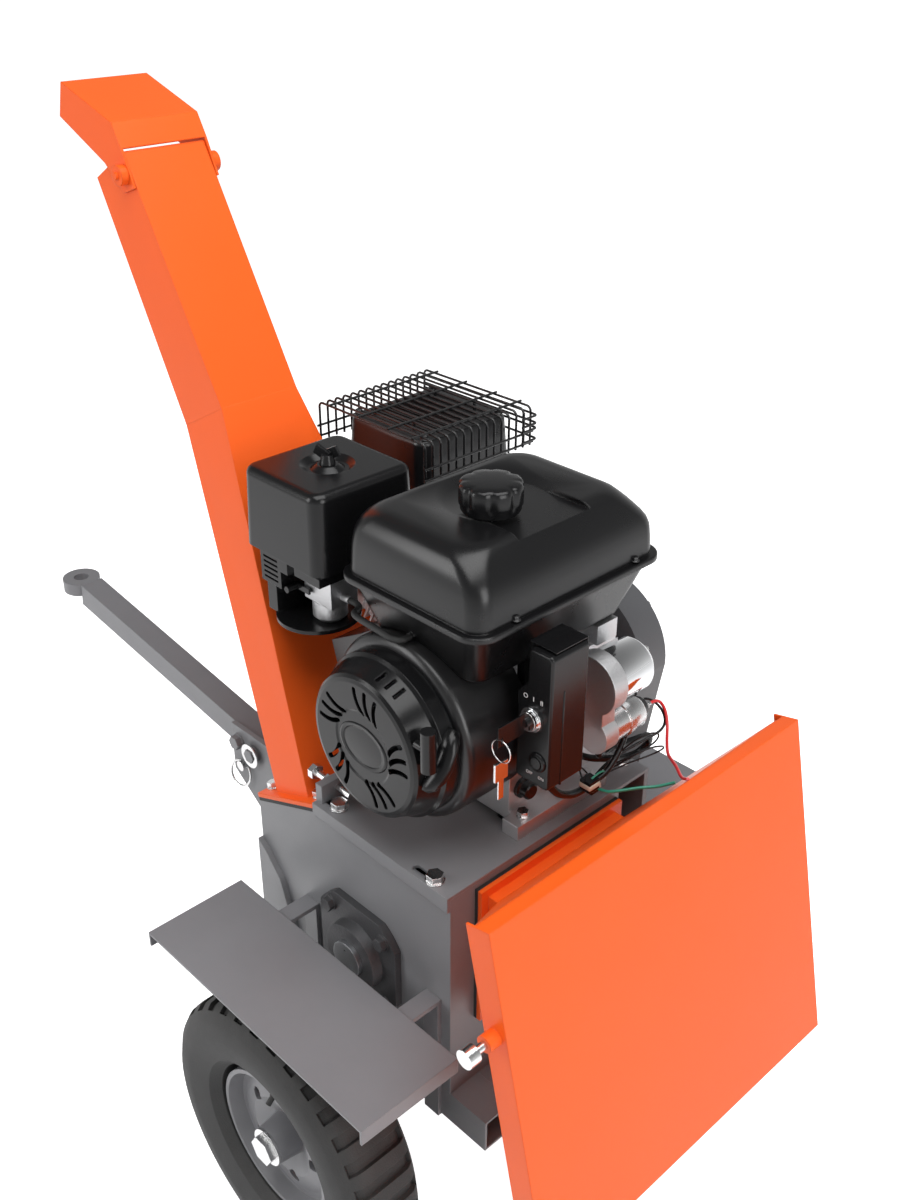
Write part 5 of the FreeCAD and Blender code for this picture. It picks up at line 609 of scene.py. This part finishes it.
# The shallow well round the filler, pressed in and run out over the front edge.
well_x, well_y, well_floor = 0.316, -0.010, tank_top - 0.0060
well_foot, well_mouth, well_height = 0.061, 0.083, 0.012
runout_x, runout_long, runout_wide, runout_tall = 0.386, 0.140, 0.116, 0.020
well = bmesh.new()
bmesh.ops.create_cone(well, cap_ends=True, segments=96, radius1=well_foot, radius2=well_mouth, depth=well_height,
                      matrix=Matrix.Translation((well_x, well_y, well_floor + well_height / 2)))
runout = bmesh.new()
bmesh.ops.create_cube(runout, size=1, matrix=Matrix.Translation((runout_x, well_y, well_floor + runout_tall / 2))
                      @ Matrix.Diagonal((runout_long, runout_wide, runout_tall, 1)))
upper = work_object("upper_shell", shell)
dies = [work_object("well_tool", well), work_object("runout_tool", runout)]
for die in dies:
    press = upper.modifiers.new("press", "BOOLEAN")
    press.operation = "DIFFERENCE"
    press.object = die
    press.solver = "EXACT"
tank.from_mesh(bpy.data.meshes.new_from_object(upper.evaluated_get(bpy.context.evaluated_depsgraph_get())))
for made in (upper, *dies):
    bpy.data.objects.remove(made)
tank_piece = piece("pressed_tank", tank, tank_paint, "chassis", 0.6)
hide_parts("fuel_tank")

lip_screws, lip_screw = bmesh.new(), 0.009
for x, y in ((tank_low[0] + 0.010, 0.03), (tank_high[0] - 0.008, -0.10), (tank_high[0] - 0.008, 0.10)):
    flange_screw(lip_screws, (x, y, shell_foot), (0, 0, 1), lip_screw)
piece("tank_screws", lip_screws, heat_black, "chassis")

# ---------------------------------------------------------------------------------------------------------
# Air cleaner: a moulded cover over a foam element, held by a wing nut in a dished top. Its base has
# louvres, and under it sit the die-cast carburettor, the choke lever and the rubber fuel hose.
# ---------------------------------------------------------------------------------------------------------

dress(moulding, "air_cleaner_cover", "air_cleaner_base", "wing_nut", "choke_lever")
dress(cast_alloy, "carburettor")
dress(black_rubber, "fuel_hose")

# ---------------------------------------------------------------------------------------------------------
# Muffler: a folded steel box behind the tank under a ribbed heat shield, all in black heat-proof paint.
# A cage of welded wire stands over it; four screws hold the shield.
# ---------------------------------------------------------------------------------------------------------

dress(heat_black, "muffler", "muffler_shield", "wire_guard")
shield_low, shield_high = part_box("muffler_shield")
shield_top, shield_screw = 0.9935, 0.010
shield_screws = bmesh.new()
for x in (shield_low[0] + 0.014, shield_high[0] - 0.014):
    for y in (shield_low[1] + 0.016, shield_high[1] - 0.016):
        flange_screw(shield_screws, (x, y, shield_top), (0, 0, 1), shield_screw)
piece("shield_screws", shield_screws, heat_black, "chassis")

# ---------------------------------------------------------------------------------------------------------
# Electric starter: a chrome-plated motor can on a cast nose, with its zinc-plated solenoid beneath. Two
# long screws hold the end cover, and hex nuts clamp the cables on the solenoid's two studs.
# ---------------------------------------------------------------------------------------------------------

chrome = surfaced("chrome", (0.86, 0.87, 0.88), 0.07, 0.05, 1.0, (300.0, 0.3, 0.00005), soft=0.001)
motor_x, motor_z, motor_end = 0.446, 0.795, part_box("starter_motor")[1][1]
end_cover = bmesh.new()
lathe(end_cover, [(0.0265, 0), (0.0262, 0.0006), (0.020, 0.0012), (0.010, 0.0012), (0.008, 0.004), (0, 0.0045)],
      (motor_x, motor_end - 0.0004, motor_z), (0, 1, 0), 40)
piece("motor_end_cover", end_cover, zinc_plate, "chassis")
# The cast nose is kept as far as the can; both cans are turned anew.
nose_end, can_start, can_radius = 0.041, 0.0400, 0.0346
nose = bmesh.new()
nose.from_mesh(nodes["starter_motor"].data)
bmesh.ops.remove_doubles(nose, verts=nose.verts, dist=1e-6)
bmesh.ops.bisect_plane(nose, geom=nose.verts[:] + nose.edges[:] + nose.faces[:], plane_co=(0, nose_end, 0),
                       plane_no=(0, 1, 0), clear_outer=True)
bmesh.ops.holes_fill(nose, edges=[join for join in nose.edges if join.is_boundary], sides=0)
nose_piece = piece("motor_nose", nose, cast_alloy, "chassis", 0.6)
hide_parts("starter_motor")
can = bmesh.new()
lathe(can, [(0, can_start), (can_radius, can_start), (can_radius, motor_end - 0.0105),
            (can_radius - 0.0011, motor_end - 0.008), (0.0272, motor_end - 0.0006), (0, motor_end - 0.0006)],
      (motor_x, 0, motor_z), (0, 1, 0), 64)
piece("motor_can", can, chrome, "chassis")

coil_x, coil_z, coil_y = 0.452, 0.727, 0.0400
coil = bmesh.new()
lathe(coil, [(0, 0), (0.0212, 0), (0.0212, 0.0275), (0.0227, 0.028), (0.0227, 0.037), (0.0212, 0.0375),
             (0.0212, 0.0555), (0.0195, 0.0585), (0.0170, 0.060), (0, 0.060)], (coil_x, coil_y, coil_z), (0, 1, 0), 56)
coil_piece = piece("solenoid_can", coil, zinc_plate, "chassis")
coil_cap = bmesh.new()
lathe(coil_cap, [(0, 0.0590), (0.0165, 0.0595), (0.0150, 0.0645), (0.0132, 0.0700), (0, 0.0702)],
      (coil_x, coil_y, coil_z), (0, 1, 0), 40)
piece("solenoid_cap", coil_cap, moulding, "chassis")
studs = bmesh.new()
for x in (coil_x - 0.006, coil_x + 0.006):
    foot = (x, coil_y, coil_z + 0.002)
    lathe(studs, [(0, 0.0690), (0.0024, 0.0690), (0.0024, 0.0815), (0.0018, 0.082), (0, 0.082)], foot, (0, 1, 0), 16)
    lathe(studs, [(0.0023, 0.0705), (0.0048, 0.0705), (0.0052, 0.0712), (0.0052, 0.0745), (0.0048, 0.0752),
                  (0.0023, 0.0752)], foot, (0, 1, 0), 6)
piece("solenoid_studs", studs, zinc_plate, "chassis", 0.4)
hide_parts("solenoid")

motor_screws = bmesh.new()
screw_reach, motor_screw = 0.0225, 0.008
for angle in (60, 240):
    x = motor_x + screw_reach * math.cos(math.radians(angle))
    z = motor_z + screw_reach * math.sin(math.radians(angle))
    flange_screw(motor_screws, (x, motor_end - 0.0008, z), (0, 1, 0), motor_screw)
piece("motor_screws", motor_screws, zinc_plate, "chassis")

# ---------------------------------------------------------------------------------------------------------
# Key box: a moulded black housing on a bent bracket, with a chromed ignition lock, a push-to-reset
# button and printed switch marks. The key and a spare hang on a split ring of steel wire.
# ---------------------------------------------------------------------------------------------------------

dress(moulding, "key_box", "breaker_button", "ignition_key")
dress(heat_black, "key_bracket")
dress(chrome, "ignition_lock")
dress(zinc_plate, "key_ring")
box_low, box_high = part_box("key_box")
box_front = box_low[1]
lock_x, lock_z, button_x, button_z = 0.454, 0.803, 0.464, 0.749

# A thin rib where the two halves of the box meet, just proud of its sides and short of its rounded top.
rib_proud, rib_thick, rib_back, rib_drop, rib_short = 0.0012, 0.0026, 0.021, 0.024, 0.050
box_trim = bmesh.new()
bmesh.ops.create_cube(box_trim, size=1, matrix=Matrix.Translation((
    (box_low[0] + box_high[0]) / 2 + 0.0002, box_front + rib_back, (box_low[2] + box_high[2]) / 2 - rib_drop))
    @ Matrix.Diagonal((box_high[0] - box_low[0] + rib_proud, rib_thick, box_high[2] - box_low[2] - rib_short, 1)))
bmesh.ops.bevel(box_trim, geom=box_trim.edges[:], offset=0.0009, affect="EDGES", segments=2, profile=0.5,
                material=-1)
piece("key_box_seam", box_trim, moulding, "chassis")
button_ring = bmesh.new()
lathe(button_ring, [(0.0086, 0), (0.0125, 0), (0.0122, 0.002), (0.0108, 0.0032), (0.0086, 0.0034)],
      (button_x, box_front + 0.0004, button_z), (0, -1, 0), 32)
lathe(button_ring, [(0.0125, -0.0002), (0.0165, -0.0002), (0.0162, 0.0011), (0.0125, 0.0011)],
      (lock_x, box_front + 0.0003, lock_z), (0, -1, 0), 40)
piece("key_box_rings", button_ring, moulding, "chassis")

# A folded sheet behind and over the box, which carries it on the fan cover.
hood = bmesh.new()
for place, size in (((0.4275, -0.0545, 0.840), (0.037, 0.0015, 0.076)),
                    ((0.4585, -0.0560, 0.8945), (0.039, 0.052, 0.0016)),
                    ((0.4585, -0.0305, 0.884), (0.039, 0.0015, 0.0225))):
    bmesh.ops.create_cube(hood, size=1, matrix=Matrix.Translation(place) @ Matrix.Diagonal((*size, 1)))
corners = [join for join in hood.edges if abs((join.verts[0].co - join.verts[1].co).normalized().y) > 0.9
           and max(spot.co.x for spot in join.verts) < 0.42]
bmesh.ops.bevel(hood, geom=corners, offset=0.013, affect="EDGES", segments=6, profile=0.5, material=-1)
piece("key_box_hood", hood, moulding, "chassis", 0.5)

print_white = surfaced("white_print", (0.78, 0.78, 0.78), 0.5, 0.1, grain=(600.0, 0.3, 0.0001), soft=0.0)


def printed(name, words, tall, centre):
    """Flat lettering on the front of the key box."""
    text = bpy.data.curves.new(name, "FONT")
    text.body = words
    text.align_x, text.align_y = "CENTER", "CENTER"
    text.size = tall
    text.extrude = 0.00012
    letters = bpy.data.objects.new(name, text)
    scene.collection.objects.link(letters)
    shape = bpy.data.meshes.new_from_object(letters)
    bpy.data.objects.remove(letters)
    shape.transform(Matrix.Translation(centre) @ Matrix.Rotation(math.pi / 2, 4, "X"))
    shape.materials.clear()
    shape.materials.append(print_white)
    made = bpy.data.objects.new(name, shape)
    scene.collection.objects.link(made)
    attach(made, "chassis")


mark_y, lock_mark_z, button_mark_z = box_front - 0.0002, lock_z + 0.026, button_z - 0.020
lock_mark, button_mark = 0.0085, 0.0055
printed("off_mark", "O", lock_mark, (lock_x - 0.011, mark_y, lock_mark_z))
printed("on_mark", "I", lock_mark, (lock_x + 0.001, mark_y, lock_mark_z))
printed("start_mark", "II", lock_mark, (lock_x + 0.013, mark_y, lock_mark_z))
printed("button_off_mark", "OFF", button_mark, (button_x - 0.012, mark_y, button_mark_z))
printed("button_on_mark", "ON", button_mark, (button_x + 0.006, mark_y, button_mark_z))

# ---------------------------------------------------------------------------------------------------------
# Wiring: a ribbed conduit and two sleeved leads end in nylon connectors under the key box. One red and
# one green wire, left for the battery, lie loose over the front of the engine deck.
# ---------------------------------------------------------------------------------------------------------

dress(moulding, "harness")
red_sleeve = surfaced("red_sleeve", (0.62, 0.025, 0.03), 0.32, 0.1, soft=0.0)
green_sleeve = surfaced("green_sleeve", (0.03, 0.30, 0.20), 0.32, 0.1, soft=0.0)
nylon = surfaced("cream_nylon", (0.62, 0.60, 0.48), 0.45, 0.1, grain=(800.0, 0.4, 0.0001))


def smooth_wire(name, route, radius, material):
    """A wire as one smooth open curve; the route is its control points in millimetres."""
    line = bpy.data.curves.new(name, "CURVE")
    line.dimensions = "3D"
    line.bevel_depth = radius
    line.bevel_resolution = 4
    line.resolution_u = 12
    line.use_fill_caps = True
    spline = line.splines.new("NURBS")
    spline.points.add(len(route) - 1)
    for spot, place in zip(spline.points, route):
        spot.co = (place[0] / 1000, place[1] / 1000, place[2] / 1000, 1)
    spline.order_u = 3
    spline.use_endpoint_u = True
    line.materials.append(material)
    made = bpy.data.objects.new(name, line)
    scene.collection.objects.link(made)
    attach(made, "chassis")
    return made


red_route = [(458, 122, 729), (458, 136, 729), (463, 146, 714), (473, 141, 698), (489, 120, 690), (507, 98, 690),
             (525, 82, 698), (542, 68, 705), (556, 56, 707), (568, 46, 711.5), (580, 38, 722)]
green_route = [(452, 34, 642), (466, 34, 642), (481, 46, 647), (497, 64, 651), (512, 80, 652), (528, 90, 662)]
red_line = smooth_wire("red_lead", red_route, 0.002, red_sleeve)
green_line = smooth_wire("green_lead", green_route, 0.002, green_sleeve)
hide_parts("red_wire")
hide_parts("green_wire")

# Thin wires of the connectors, from one housing to the other.
for index, (route, sleeve) in enumerate((
        ([(444, 36, 650), (446, 30, 662), (450, 12, 672), (456, 6, 670)], moulding),
        ([(440, 36, 650), (436, 26, 668), (444, 6, 682), (456, 4, 668)], moulding),
        ([(448, 40, 650), (458, 44, 664), (462, 28, 676), (460, 14, 670)], green_sleeve))):
    smooth_wire("link_wire_%d" % index, route, 0.0012, sleeve)
# The starter's own black wires, looped back in a loose bunch behind the key box.
for index, (radius, route) in enumerate((
        (0.0017, [(446, 121, 729), (447, 134, 727), (462, 147, 708), (472, 139, 690), (462, 110, 681), (452, 80, 672),
                  (446, 56, 664), (443, 43, 652)]),
        (0.0011, [(448, 44, 655), (462, 62, 668), (480, 90, 687), (489, 112, 686), (484, 124, 673), (473, 112, 663),
                  (464, 84, 662), (452, 52, 655)]),
        (0.0011, [(446, 46, 657), (458, 70, 684), (474, 96, 704), (485, 112, 703), (482, 104, 688), (464, 74, 672),
                  (448, 50, 660)]))):
    smooth_wire("starter_wire_%d" % index, route, radius, moulding)

# The nylon collars of the two connectors.
sockets = bmesh.new()
for place, size in (((0.4435, 0.034, 0.642), (0.0185, 0.0175, 0.008)),
                    ((0.458, 0.013, 0.6625), (0.0175, 0.0195, 0.007))):
    bmesh.ops.create_cube(sockets, size=1, matrix=Matrix.Translation(place) @ Matrix.Diagonal((*size, 1)))
bmesh.ops.bevel(sockets, geom=sockets.edges[:], offset=0.0012, affect="EDGES", segments=2, profile=0.5, material=-1)
piece("connector_collars", sockets, nylon, "chassis")
